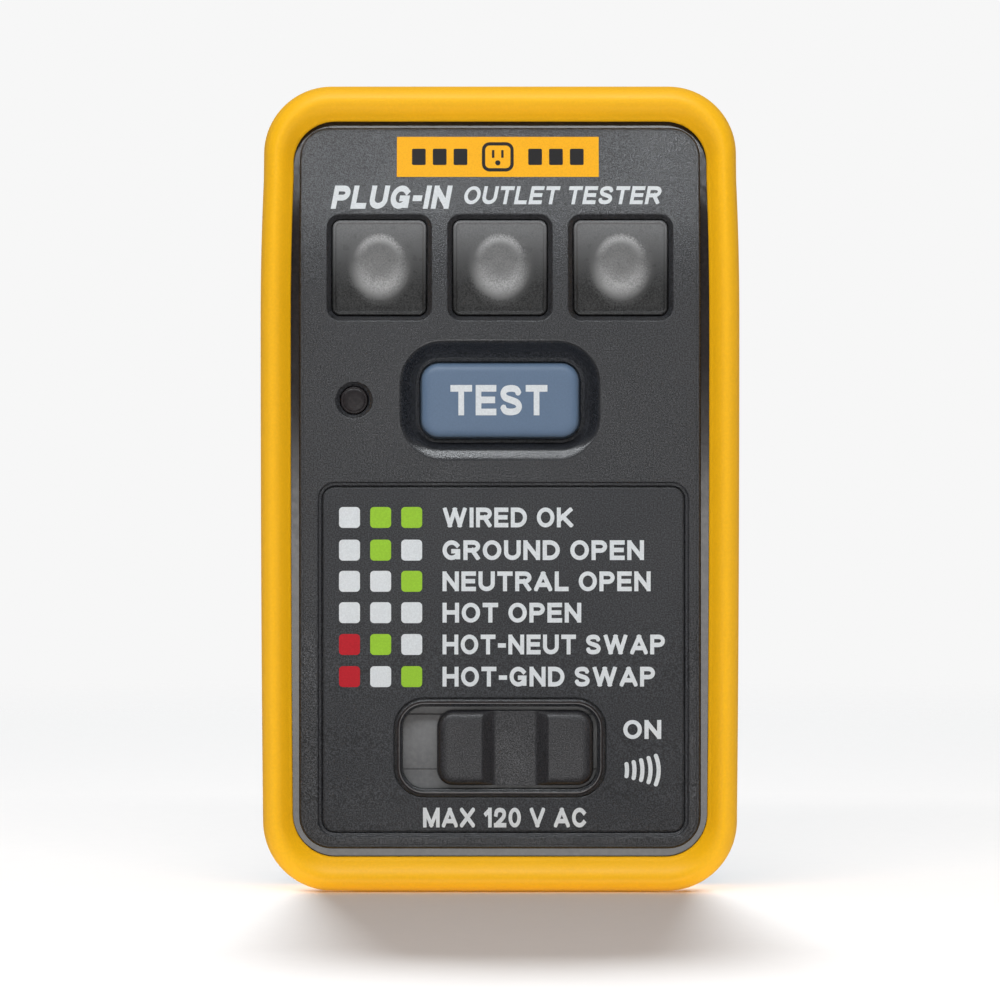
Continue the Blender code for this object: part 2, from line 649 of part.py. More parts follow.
def test_button():
    """The cap with its retaining flange and stem. Its origin is on the line that it slides along."""
    cap = rect(BUTTON_WIDTH, BUTTON_HEIGHT, BUTTON_RADIUS)
    top = -BUTTON_RISE
    flange_front = PANEL_THICKNESS + GAP
    flange_back = flange_front + 0.8 * MM
    stem_end = 10.2 * MM
    item = piece("test_button", loft([
        ring(outline(grown(cap, -0.7 * MM)), top),
        ring(outline(grown(cap, -0.28 * MM)), top + 0.1 * MM),
        ring(outline(grown(cap, -0.07 * MM)), top + 0.3 * MM),
        ring(outline(cap), top + 0.6 * MM),
        ring(outline(cap), flange_front),
        ring(outline(grown(cap, 1.2 * MM)), flange_front),
        ring(outline(grown(cap, 1.2 * MM)), flange_back),
    ]), (0.125, 0.185, 0.275), 0.45, y=FACE_Y, v=BUTTON_V)
    add(item, moved(cylinder(1.6 * MM, flange_back - 0.4 * MM, stem_end, 16), y=FACE_Y, v=BUTTON_V))
    base_size = 6.0 * MM
    base_front_y = BOARD_FRONT_Y - 3.8 * MM
    plunger_front_y = FACE_Y + stem_end + GAP
    base = piece("tact_switch_base", block(base_size, base_size, base_front_y, BOARD_FRONT_Y - GAP),
                 BLACK_PLASTIC, 0.5, v=BUTTON_V)
    cut(base, moved(cylinder(2.0 * MM, base_front_y - MM, base_front_y + 1.8 * MM), v=BUTTON_V))
    piece("tact_plunger", cylinder(1.7 * MM, 0, base_front_y + 0.6 * MM - plunger_front_y, 16),
          (0.5, 0.1, 0.08), 0.5, y=plunger_front_y, v=BUTTON_V)


def legend_plate():
    plate = rect(LEGEND_WIDTH, LEGEND_HEIGHT, 1.05 * MM)
    edge = 0.08 * MM
    item = piece("legend_plate", loft([
        ring(outline(grown(plate, -edge), LEGEND_LEVELS), behind_face(0, LEGEND_V)),
        ring(outline(plate, LEGEND_LEVELS), behind_face(edge, LEGEND_V)),
        ring(outline(plate, LEGEND_LEVELS), behind_face(LEGEND_THICKNESS, LEGEND_V)),
    ]), (0.05, 0.051, 0.056), 0.6, v=LEGEND_V)
    rim = grown(SLOT, RIM_WIDTH + GAP)
    cut(item, moved(prism(rim, FACE_Y - 2 * MM, FACE_Y + 3 * MM), v=SWITCH_V))


def slide_switch():
    """The knob, its shutter and the switch below. The knob's origin is on the line that it slides along."""
    knob = rect(KNOB_WIDTH, KNOB_HEIGHT, KNOB_RADIUS)
    surface_y = behind_face(0)(SWITCH_V)
    shutter_front = WEB + GAP
    shutter_back = shutter_front + SHUTTER_THICKNESS
    neck = rect(4.4 * MM, 3.4 * MM, 0.6 * MM)
    shank = grown(neck, 1.0 * MM)
    item = piece("slide_knob", loft([
        ring(outline(grown(knob, -0.55 * MM)), -KNOB_RISE),
        ring(outline(grown(knob, -0.25 * MM)), 0.12 * MM - KNOB_RISE),
        ring(outline(knob), 0.75 * MM - KNOB_RISE),
        ring(outline(knob), WEB),
        ring(outline(neck), WEB),
        ring(outline(neck), shutter_back + GAP),
        ring(outline(shank), shutter_back + GAP),
        ring(outline(shank), 9.4 * MM),
    ]), (0.07, 0.068, 0.076), 0.5, x=KNOB_X, y=surface_y, v=SWITCH_V)
    pocket = block(2.4 * MM, 2.6 * MM, 7.0 * MM, 10.0 * MM)
    cut(item, moved(joined([valley_cutter(), pocket]), x=KNOB_X, y=surface_y, v=SWITCH_V))
    shutter = piece("slide_shutter", prism(
        rect(SHUTTER_WIDTH, SHUTTER_HEIGHT, 0.8 * MM), surface_y + shutter_front, surface_y + shutter_back),
        (0.16, 0.16, 0.165), 0.35, x=KNOB_X, v=SWITCH_V)
    neck_hole = prism(grown(neck, GAP), surface_y, surface_y + 2 * shutter_back)
    cut(shutter, moved(neck_hole, x=KNOB_X, v=SWITCH_V))
    body_front_y = BOARD_FRONT_Y - 4.5 * MM
    body = piece("slide_switch_body", block(12.0 * MM, 5.0 * MM, body_front_y, BOARD_FRONT_Y - GAP),
                 (0.62, 0.62, 0.6), 0.4, 1.0, v=SWITCH_V)
    cut(body, moved(block(8.4 * MM, 2.6 * MM, body_front_y - MM, body_front_y + 1.6 * MM), v=SWITCH_V))
    piece("slide_actuator", block(1.8 * MM, 2.0 * MM, surface_y + 7.6 * MM, body_front_y + 1.2 * MM),
          BLACK_PLASTIC, 0.5, x=KNOB_X, v=SWITCH_V)


def valley_cutter():
    """A trough along v, as wide as the low middle of the knob."""
    bottom = VALLEY_DEPTH - KNOB_RISE
    above = -KNOB_RISE - MM
    profile = [(VALLEY_HALF, above), (VALLEY_HALF, -KNOB_RISE), (VALLEY_FLOOR_HALF, bottom),
               (-VALLEY_FLOOR_HALF, bottom), (-VALLEY_HALF, -KNOB_RISE), (-VALLEY_HALF, above)]
    return loft([[(x, y, v) for x, y in profile] for v in (KNOB_HEIGHT, -KNOB_HEIGHT)])


# ---------------------------------------------------------------- inside

def main_board():
    board = piece("main_board", block(BOARD_WIDTH, BOARD_HEIGHT, BOARD_FRONT_Y, BOARD_BACK_Y),
                  (0.02, 0.12, 0.05), 0.4)
    notch = POST_RADIUS + 0.4 * MM
    cut(board, *[
        moved(cylinder(notch, BOARD_FRONT_Y - MM, BOARD_BACK_Y + MM), x=x, v=v) for x, v in SCREW_CORNERS
    ])


def board_parts():
    front_y = BOARD_FRONT_Y - GAP
    back_y = BOARD_BACK_Y + GAP
    sound_hole = 1.0 * MM
    piece("buzzer", turned([
        (0, back_y), (BUZZER_RADIUS, back_y), (BUZZER_RADIUS, BUZZER_BACK_Y - 0.4 * MM),
        (BUZZER_RADIUS - 0.4 * MM, BUZZER_BACK_Y), (sound_hole, BUZZER_BACK_Y),
        (sound_hole, BUZZER_BACK_Y - 1.4 * MM), (0, BUZZER_BACK_Y - 1.4 * MM),
    ], 24), BLACK_PLASTIC, 0.5, v=BUZZER_V)
    piece("control_chip", block(6.0 * MM, 8.6 * MM, front_y - 1.6 * MM, front_y),
          BLACK_PLASTIC, 0.5, x=9.5 * MM, v=-8.0 * MM)
    can_radius = 3.15 * MM
    can_tip_y = front_y - 7.0 * MM
    can_edge = 0.4 * MM
    piece("filter_capacitor", turned([
        (0, front_y), (can_radius, front_y), (can_radius, can_tip_y + can_edge),
        (can_radius - can_edge, can_tip_y), (0, can_tip_y),
    ]), (0.03, 0.05, 0.16), 0.35, x=-9.5 * MM, v=-8.0 * MM)
    piece("test_load_resistor", prism(rect(4.6 * MM, 14.0 * MM, 0.5 * MM), back_y, back_y + 4.6 * MM),
          CERAMIC, 0.8, x=-14.0 * MM, v=0)
    for letter, v in (("a", 23.0 * MM), ("b", 20.0 * MM), ("c", 17.0 * MM)):
        piece(f"resistor_{letter}", prism(rect(6.4 * MM, 2.2 * MM, 1.0 * MM), back_y, back_y + 2.0 * MM),
              (0.35, 0.5, 0.6), 0.5, v=v)
    piece("diode", prism(rect(2.2 * MM, 4.4 * MM, 0.5 * MM), back_y, back_y + 2.0 * MM),
          BLACK_PLASTIC, 0.4, x=14.0 * MM, v=0)


# ---------------------------------------------------------------- prongs

def prongs():
    tail_width = 3.0 * MM
    tail_thickness = 1.0 * MM
    step = 0.6 * MM
    for name, side in (("neutral_blade", -1), ("hot_blade", 1)):
        def section(width, thickness, y):
            corners = [(thickness, width), (thickness, -width), (-thickness, -width), (-thickness, width)]
            return ring([(x / 2, v / 2) for x, v in corners], y)

        blade = piece(name, loft([
            section(tail_width, tail_thickness, PRONG_TAIL_Y),
            section(tail_width, tail_thickness, CARRIER_FRONT_Y - step),
            section(BLADE_WIDTH, BLADE_THICKNESS, CARRIER_FRONT_Y - step),
            section(BLADE_WIDTH, BLADE_THICKNESS, BLADE_LENGTH - 1.9 * MM),
            section(BLADE_WIDTH - 1.6 * MM, 0.7 * MM, BLADE_LENGTH),
        ]), PLATED_BRASS, 0.25, 1.0, x=side * BLADE_PITCH / 2, v=BLADE_V)
        hole = cylinder(BLADE_HOLE_RADIUS, -2 * MM, 2 * MM, 16)
        cut(blade, moved(hole, side * BLADE_PITCH / 2, BLADE_HOLE_Y, BLADE_V, QUARTER_TURN, "Z"))
    pin_tail = 1.2 * MM
    tip = [(PIN_RADIUS * math.cos(a), PIN_LENGTH - PIN_RADIUS * (1 - math.sin(a)))
           for a in (math.pi / 2 * i / 5 for i in range(5))]
    piece("ground_pin", turned([
        (0, PRONG_TAIL_Y), (pin_tail, PRONG_TAIL_Y), (pin_tail, CARRIER_FRONT_Y - step),
        (PIN_RADIUS, CARRIER_FRONT_Y - step),
    ] + tip + [(0, PIN_LENGTH)], 20), PLATED_BRASS, 0.25, 1.0, v=PIN_V)


def blade_carrier():
    back_y = -BACK_WALL - GAP
    outer = rect(CARRIER_WIDTH, CARRIER_HEIGHT, 2.0 * MM)
    carrier = piece("blade_carrier", prism(outer, CARRIER_FRONT_Y, back_y),
                    (0.55, 0.53, 0.48), 0.6, v=(BLADE_V + PIN_V) / 2)
    cut(carrier, *prong_slots(CARRIER_FRONT_Y - MM))


def rating_label():
    front_y = -LABEL_THICKNESS - 0.5 * GAP
    piece("rating_label", prism(rect(LABEL_WIDTH, LABEL_HEIGHT, MM), front_y, front_y + LABEL_THICKNESS),
          (0.6, 0.6, 0.6), 0.5, v=LABEL_V)


front_cover()
bumper()
rear_housing()
case_screws()
window_lenses()
lamps()
light_baffle()
indicator()
test_button()
legend_plate()
slide_switch()
main_board()
board_parts()
prongs()
blade_carrier()
rating_label()
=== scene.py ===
import functools
import math

import bmesh
import bpy
import numpy as np
from mathutils import Matrix, Vector, geometry


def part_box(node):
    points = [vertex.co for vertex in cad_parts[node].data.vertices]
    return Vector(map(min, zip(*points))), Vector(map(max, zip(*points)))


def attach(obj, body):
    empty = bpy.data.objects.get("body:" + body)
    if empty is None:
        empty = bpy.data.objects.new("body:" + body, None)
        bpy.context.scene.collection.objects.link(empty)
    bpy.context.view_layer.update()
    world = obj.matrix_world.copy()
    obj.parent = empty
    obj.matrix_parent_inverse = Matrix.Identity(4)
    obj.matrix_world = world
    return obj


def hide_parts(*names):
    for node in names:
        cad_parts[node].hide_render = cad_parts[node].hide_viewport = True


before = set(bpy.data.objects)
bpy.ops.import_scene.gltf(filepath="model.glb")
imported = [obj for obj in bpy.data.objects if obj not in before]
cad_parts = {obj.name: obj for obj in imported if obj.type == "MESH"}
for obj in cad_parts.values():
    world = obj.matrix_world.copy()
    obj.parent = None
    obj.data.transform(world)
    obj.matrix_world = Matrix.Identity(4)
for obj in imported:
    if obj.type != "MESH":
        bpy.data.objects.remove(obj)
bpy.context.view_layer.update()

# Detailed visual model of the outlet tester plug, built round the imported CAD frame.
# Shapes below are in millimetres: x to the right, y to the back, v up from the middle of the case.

MM = 0.001


@functools.cache
def node_box(name):
    """(low, high) corners of a CAD node, in millimetres."""
    low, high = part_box(name)
    return low / MM, high / MM


def middle(name):
    """Middle of a CAD node as (x, v), from the middle of the case."""
    low, high = node_box(name)
    return (low.x + high.x) / 2, (low.z + high.z) / 2 - CENTRE_Z


# ---------------------------------------------------------------- places, from the frame

BUMPER_LOW, BUMPER_HIGH = node_box("bumper")
CENTRE_Z = (BUMPER_LOW.z + BUMPER_HIGH.z) / 2
TO_METRES = Matrix.Translation((0, 0, CENTRE_Z * MM)) @ Matrix.Scale(MM, 4)
BUTTON_RISE = 0.5
FACE = node_box("test_button")[0].y + BUTTON_RISE  # Y of the flat middle of the face
RIDGE_RISE = FACE - BUMPER_LOW.y
COVER_BACK = node_box("front_cover")[1].y
HOUSING_FRONT = node_box("rear_housing")[0].y
BUTTON_X, BUTTON_V = middle("test_button")
LEGEND_SHIFT = 0.3  # the overlay sits a little to the right of the panel's middle
LEGEND_X, LEGEND_V = middle("legend_plate")
LEGEND_X += LEGEND_SHIFT
INDICATOR_X, INDICATOR_V = middle("indicator_lens")
KNOB_X, SWITCH_V = middle("slide_knob")
LENSES = {side: middle(f"window_lens_{side}") for side in ("left", "centre", "right")}
SCREWS = {f"case_screw_{i}": middle(f"case_screw_{i}") for i in (1, 2, 3, 4)}
LABEL_X, LABEL_V = middle("rating_label")
BLADES = {name: middle(name) for name in ("hot_blade", "neutral_blade")}
PIN_X, PIN_V = middle("ground_pin")
PIN_END = node_box("ground_pin")[1].y
BLADE_END = node_box("hot_blade")[1].y
PRONG_TAIL = node_box("hot_blade")[0].y
BUZZER_V = middle("buzzer")[1]

# ---------------------------------------------------------------- shapes of the face

# An outline is (half width, top, bottom, top corner radius, bottom corner radius).
BUMPER_OUTER = (BUMPER_HIGH.x, 36.75, -36.75, 6.2, 6.4)
BUMPER_INNER = (19.03, 33.45, -33.6, 3.8, 3.9)
PANEL = (18.20, 32.8, -32.8, 2.6, 2.9)
SHOULDER = (20.00, 34.8, -34.8, 4.0, 4.6)
CASE = (21.20, 36.0, -36.0, 5.2, 6.0)
CAVITY = (18.40, 33.2, -33.2, 3.2, 3.6)
PANEL_THICKNESS = 2.4
LEDGE_DEPTH = 0.8
WIDEST_V = 15.0
DRAW_IN_TOP, DRAW_IN_TOP_REACH = 0.23, 13.0
DRAW_IN_LOW, DRAW_IN_LOW_REACH = 0.20, 45.0
TILT_START_V, TILT_BLEND, TILT_SLOPE = 17.0, 9.0, 0.22
SAG_START_V, SAG_BLEND, SAG_SLOPE = -8.0, 25.0, 0.04
BUMPER_BACK = -20.5
TONGUE_V, TONGUE_HALF, TONGUE_BLEND, TONGUE_REACH = 1.0, 9.0, 9.0, 5.5
WINDOW = (4.75, 4.825, -4.825, 1.2, 1.2)
SLOT = (8.85, 3.75, -3.75, 2.0, 2.0)
KNOB = (7.1, 3.4, -3.4, 1.5, 1.5)
LEGEND = (16.65 - LEGEND_SHIFT, 15.5, -15.75, 1.05, 1.05)
CAP = (7.15, 3.35, -3.35, 1.6, 1.6)
WELL = (9.15, 5.5, -5.5, 4.0, 4.0)
POST = 2.2  # radius of a screw post
WEB = 1.45
KNOB_TRAVEL = 2.7


def drop(v):
    """How far the face falls back at height v."""
    above = max(v - TILT_START_V, 0)
    blend = min(above, TILT_BLEND)
    below = max(SAG_START_V - v, 0)
    tilt = TILT_SLOPE * (blend * blend / (2 * TILT_BLEND) + above - blend)
    return tilt + SAG_SLOPE * below * below / (2 * SAG_BLEND)


def on_face(depth):
    """Places (x, v) this deep behind the face."""
    return lambda x, v: (x, FACE + depth + drop(v), v)


def at_y(y):
    return lambda x, v: (x, y, v)


def smooth(t):
    t = min(max(t, 0), 1)
    return t * t * (3 - 2 * t)


def bumper_back(v):
    """The Y of the bumper's rear edge, further back in the middle of the sides."""
    into_tongue = (TONGUE_HALF + TONGUE_BLEND - abs(v - TONGUE_V)) / TONGUE_BLEND
    return BUMPER_BACK + TONGUE_REACH * smooth(into_tongue)


def grown(shape, by):
    half_width, top, bottom, top_radius, bottom_radius = shape
    return (half_width + by, top + by, bottom - by, max(top_radius + by, 0.02), max(bottom_radius + by, 0.02))


def rect(width, height, radius):
    return (width / 2, height / 2, -height / 2, radius, radius)


def steps(start, end, count):
    return [start + (end - start) * i / count for i in range(count + 1)]


def mixed(first, second, share):
    return tuple(a + (b - a) * share for a, b in zip(first, second))


def outline(shape, arc=10, across=1, down=1, centre=(0, 0)):
    """(x, v) points round a rounded rectangle, clockwise from the top of its right corner.

    across and down are how many parts the straight runs have, or lists of their inner x or v.
    """
    half_width, top, bottom, top_radius, bottom_radius = shape
    corners = [(half_width - top_radius, top - top_radius, top_radius),
               (half_width - bottom_radius, bottom + bottom_radius, bottom_radius)]
    corners += [(-x, v, radius) for x, v, radius in corners[::-1]]

    def corner_point(turn, share):
        x, v, radius = corners[turn % 4]
        angle = math.pi / 2 * (turn + share)
        return x + radius * math.sin(angle), v + radius * math.cos(angle)

    points = []
    for turn in range(4):
        points += [corner_point(turn, i / arc) for i in range(arc + 1)]
        x, v = points[-1]
        run = across if turn % 2 else down
        if isinstance(run, int):
            points += [mixed((x, v), corner_point(turn + 1, 0), i / run) for i in range(1, run)]
        else:
            places = sorted(run, reverse=turn < 2)
            points += [(place, v) if turn % 2 else (x, place) for place in places]
    return [(x + centre[0], v + centre[1]) for x, v in points]


def circle(radius, count, centre=(0, 0)):
    angles = [math.tau * i / count for i in range(count)]
    return [(centre[0] + radius * math.sin(a), centre[1] + radius * math.cos(a)) for a in angles]


def contains(loop, points):
    """Which of the points lie inside a closed loop."""
    x, v = np.array(points, float).T
    inside = np.zeros(len(x), bool)
    loop = np.array(loop, float)
    for (x0, v0), (x1, v1) in zip(loop, np.roll(loop, -1, 0)):
        if v0 != v1:
            crosses = ((v0 > v) != (v1 > v)) & (x < (x1 - x0) * (v - v0) / (v1 - v0) + x0)
            inside ^= crosses
    return inside


def between(outer, holes, points):
    """Which of the points lie inside a loop and outside its holes."""
    inside = contains(outer, points)
    for hole in holes:
        inside &= ~contains(hole, points)
    return inside


def chained(loops):
    """All points of some loops, and the edges between them as pairs of numbers."""
    flat, edges = [], []
    for loop in loops:
        edges += [(len(flat) + i, len(flat) + (i + 1) % len(loop)) for i in range(len(loop))]
        flat += loop
    return flat, edges


def curve_through(points, parts):
    """A smooth line through (a, b) points, with this many parts between each two."""
    p = np.array(points)
    p = np.vstack([2 * p[0] - p[1], p, 2 * p[-1] - p[-2]])
    line = [points[0]]
    for a, b, c, d in zip(p, p[1:], p[2:], p[3:]):
        for t in steps(0, 1, parts)[1:]:
            bends = (2 * a - 5 * b + 4 * c - d) * t * t + (3 * b - a - 3 * c + d) * t ** 3
            line.append(tuple(map(float, 0.5 * (2 * b + (c - a) * t + bends))))
    return line


class Skin:
    """A mesh put together from bands between rings and sheets with holes; equal points are shared.

    finish is the number of the material in the piece's list.
    """

    def __init__(self):
        self.mesh = bmesh.new()
        self.known = {}

    def point(self, place):
        key = tuple(round(c, 4) for c in place)
        if key not in self.known:
            self.known[key] = self.mesh.verts.new(place)
        return self.known[key]

    def face(self, places, finish=0):
        corners = list(dict.fromkeys(self.point(p) for p in places))
        if len(corners) > 2 and self.mesh.faces.get(corners) is None:
            self.mesh.faces.new(corners).material_index = finish

    def band(self, rings, finish=0, loop=False):
        for ring, after in zip(rings, rings[1:] + (rings[:1] if loop else [])):
            for i in range(len(ring)):
                j = (i + 1) % len(ring)
                self.face((ring[i], ring[j], after[j], after[i]), finish)
        return rings[-1]

    def sheet(self, outer, holes, surface, grid=()):
        """Fills between flat loops; surface places each (x, v), grid holds points within a curved sheet."""
        flat, edges = chained([outer, *holes])
        if len(grid):
            keep = between(outer, holes, grid)
            edge_points = np.array(flat)
            grid = [p for p, k in zip(grid, keep) if k and np.abs(edge_points - p).sum(1).min() > 0.12]
        flat += list(grid)
        found = geometry.delaunay_2d_cdt([Vector(p) for p in flat], edges, [], 0, 1e-5)
        corners = [[min(found[3][i]) for i in triangle] for triangle in found[2]]
        centres = [np.mean([flat[i] for i in triangle], 0) for triangle in corners]
        for triangle, kept in zip(corners, between(outer, holes, centres)):
            if kept:
                self.face([surface(*flat[i]) for i in triangle])


def lay(loop, surface):
    return [surface(x, v) for x, v in loop]


def rings_of(shape, profile, options, surface=on_face):
    """Rings round a shape, from (how far outside its outline, depth) pairs."""
    return [lay(outline(grown(shape, out), *options), surface(depth)) for out, depth in profile]


def lid(skin, shape, end, options, surface=on_face, holes=(), grid=()):
    """A sheet inside one ring of such a profile."""
    skin.sheet(outline(grown(shape, end[0]), *options), holes, surface(end[1]), grid)


def grid_of(columns, rows):
    return [(x, v) for x in columns for v in rows]


def turned(skin, profile, centre, count):
    """Bands of a shape turned about Y, from (radius, y) pairs; radius 0 closes it."""
    rings = [[(x, y, v) for x, v in circle(r, count, centre)] if r else [(centre[0], y, centre[1])] * count
             for r, y in profile]
    skin.band(rings)


def piece(name, skin, materials, body, stands_for=(), sharp=40):
    """Turns a skin into a piece in metres, shaded smooth except at sharp edges; flat if sharp is 0."""
    mesh = skin.mesh
    bmesh.ops.recalc_face_normals(mesh, faces=mesh.faces)
    mesh.transform(TO_METRES)
    data = bpy.data.meshes.new(name)
    mesh.to_mesh(data)
    mesh.free()
    if sharp:
        data.shade_smooth()
        data.set_sharp_from_angle(angle=math.radians(sharp))
    for material in materials:
        data.materials.append(material)
    item = bpy.data.objects.new(name, data)
    bpy.context.scene.collection.objects.link(item)
    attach(item, body)
    if stands_for:
        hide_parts(*stands_for)


# ---------------------------------------------------------------- materials

def node(tree, kind, **inputs):
    made = tree.nodes.new(kind)
    for name, value in inputs.items():
        made.inputs[name.replace("_", " ")].default_value = value
    return made


def noise(tree, scale, detail=2.0, roughness=0.5, stretch=(1, 1, 1)):
    """Noise in the piece's own space; scale is how many features there are in a metre."""
    mapping = node(tree, "ShaderNodeMapping", Scale=stretch)
    tree.links.new(node(tree, "ShaderNodeTexCoord").outputs["Object"], mapping.inputs["Vector"])
    made = node(tree, "ShaderNodeTexNoise", Scale=scale, Detail=detail, Roughness=roughness)
    tree.links.new(mapping.outputs["Vector"], made.inputs["Vector"])
    return made.outputs["Fac"]


def spread(tree, value, low, high, start=0.3, end=0.7):
    made = node(tree, "ShaderNodeMapRange", From_Min=start, From_Max=end, To_Min=low, To_Max=high)
    tree.links.new(value, made.inputs["Value"])
    return made.outputs["Result"]


def maths(tree, operation, *values):
    """A Math node; each value is a number or a socket."""
    made = tree.nodes.new("ShaderNodeMath")
    made.operation = operation
    for socket, value in zip(made.inputs, values):
        if isinstance(value, (int, float)):
            socket.default_value = value
        else:
            tree.links.new(value, socket)
    return made.outputs[0]


def blend_colour(tree, share, first, second):
    made = tree.nodes.new("ShaderNodeMix")
    made.data_type = "RGBA"
    tree.links.new(share, made.inputs[0])
    for socket, colour in ((made.inputs[6], first), (made.inputs[7], second)):
        if isinstance(colour, tuple):
            socket.default_value = (*colour, 1)
        else:
            tree.links.new(colour, socket)
    return made.outputs[2]


def scaled(colour, by):
    return tuple(min(c * by, 1) for c in colour)


def bump(tree, height, depth):
    made = node(tree, "ShaderNodeBump", Distance=depth * MM)
    tree.links.new(height, made.inputs["Height"])
    return made.outputs["Normal"]


def new_material(name, **settings):
    material = bpy.data.materials.new(name)
    material.use_nodes = True
    shader = material.node_tree.nodes["Principled BSDF"]
    for key, value in settings.items():
        shader.inputs[key.replace("_", " ")].default_value = value
    return material, material.node_tree


def plug(material, **sockets):
    """Links sockets to the material's shader, and returns the material."""
    tree = material.node_tree
    for key, socket in sockets.items():
        tree.links.new(socket, tree.nodes["Principled BSDF"].inputs[key.replace("_", " ")])
    return material


def moulded(name, colour, rough, grain=0.15, depth=0.006, mottle=0.12, speck=0.35, smudge=0.06, **settings):
    """Moulded plastic: fine grain of this size in mm, slow colour mottling and a few dull smudges."""
    material, tree = new_material(name, **settings)
    fine = noise(tree, 1000 / grain, 2.0, 0.6)
    broad = noise(tree, 1000 / 7.0, 3.0, 0.55)
    handled = noise(tree, 1000 / 16.0, 4.0, 0.6)
    base = scaled(colour, 1 - speck / 2)
    toned = blend_colour(tree, spread(tree, broad, 0, 1), scaled(base, 1 - mottle), scaled(base, 1 + mottle))
    speckled = blend_colour(tree, spread(tree, fine, 0, 1, 0.40, 0.66), toned, scaled(colour, 1 + speck))
    dulled = spread(tree, handled, rough - smudge, rough + smudge)
    sparkle = spread(tree, fine, speck * 0.08, speck * -0.08)
    return plug(material, Base_Color=speckled, Roughness=maths(tree, "ADD", dulled, sparkle),
                Normal=bump(tree, fine, depth))


def metal(name, colour, rough, drawn_out=12):
    """Plated metal with fine drawing lines along Y and faint tarnish."""
    material, tree = new_material(name, Metallic=1.0)
    drawn = noise(tree, 1000 / 0.3, 3.0, 0.6, (1, 1 / drawn_out, 1))
    stained = noise(tree, 1000 / 5.0, 4.0, 0.65)
    toned = blend_colour(tree, spread(tree, stained, 0, 0.25, 0.45, 0.75), colour, (0.5, 0.42, 0.28))
    return plug(material, Base_Color=toned, Roughness=spread(tree, drawn, rough * 0.7, rough * 1.4),
                Normal=bump(tree, drawn, 0.003))


def ink(name, colour):
    """Screen-printed ink that takes on the grain below it."""
    return moulded(name, colour, 0.55, grain=0.13, mottle=0.03, speck=0.08, smudge=0.03,
                   Specular_IOR_Level=0.2)


DARK_GREY = (0.0200, 0.0207, 0.0235)
PANEL_GREY = moulded("panel_grey", DARK_GREY, 0.345, grain=0.125, depth=0.032, mottle=0.08, speck=1.4)
WELL_GREY = moulded("well_grey", DARK_GREY, 0.26, grain=0.125, depth=0.012, mottle=0.08, speck=1.0)
LEDGE_BLACK = moulded("ledge_black", (0.020, 0.016, 0.016), 0.10, grain=0.5, depth=0.0006, mottle=0.05,
                      smudge=0.03, Specular_IOR_Level=0.40)
BUMPER_YELLOW = moulded("bumper_yellow", (0.90, 0.470, 0.003), 0.50, grain=0.25, depth=0.0015, mottle=0.015,
                        speck=0.03, smudge=0.04, Specular_IOR_Level=0.3)
LEGEND_GREY = moulded("legend_grey", (0.0190, 0.0200, 0.0235), 0.43, grain=0.125, depth=0.020, mottle=0.06,
                      speck=1.1)
BUTTON_BLUE = moulded("button_blue", (0.098, 0.155, 0.245), 0.45, grain=0.12, depth=0.0015, mottle=0.03,
                      speck=0.05)
KNOB_GREY = moulded("knob_grey", (0.0185, 0.0180, 0.0205), 0.35, grain=0.12, depth=0.020, mottle=0.06,
                    speck=1.1)
SHUTTER_GREY = moulded("shutter_grey", (0.125, 0.125, 0.127), 0.30, grain=0.4, depth=0.001, mottle=0.08,
                       speck=0.1)
HOUSING_GREY = moulded("housing_grey", (0.030, 0.030, 0.032), 0.50, grain=0.20, depth=0.012, mottle=0.10)
INDICATOR_DARK = moulded("indicator_dark", (0.016, 0.013, 0.014), 0.34, grain=0.3, depth=0.002,
                         Specular_IOR_Level=0.2)
INK_WHITE = ink("ink_white", (0.66, 0.69, 0.71))
INK_GREEN = ink("ink_green", (0.30, 0.55, 0.035))
INK_RED = ink("ink_red", (0.47, 0.012, 0.022))
INK_YELLOW = ink("ink_yellow", (0.93, 0.44, 0.006))
INK_BLACK = ink("ink_black", (0.014, 0.013, 0.014))
PRONG_METAL = metal("prong_metal", (0.80, 0.76, 0.66), 0.22)
SCREW_METAL = metal("screw_metal", (0.62, 0.61, 0.58), 0.30, 1)
LABEL_SILVER = moulded("label_silver", (0.56, 0.57, 0.58), 0.42, grain=0.2, depth=0.002, mottle=0.03)


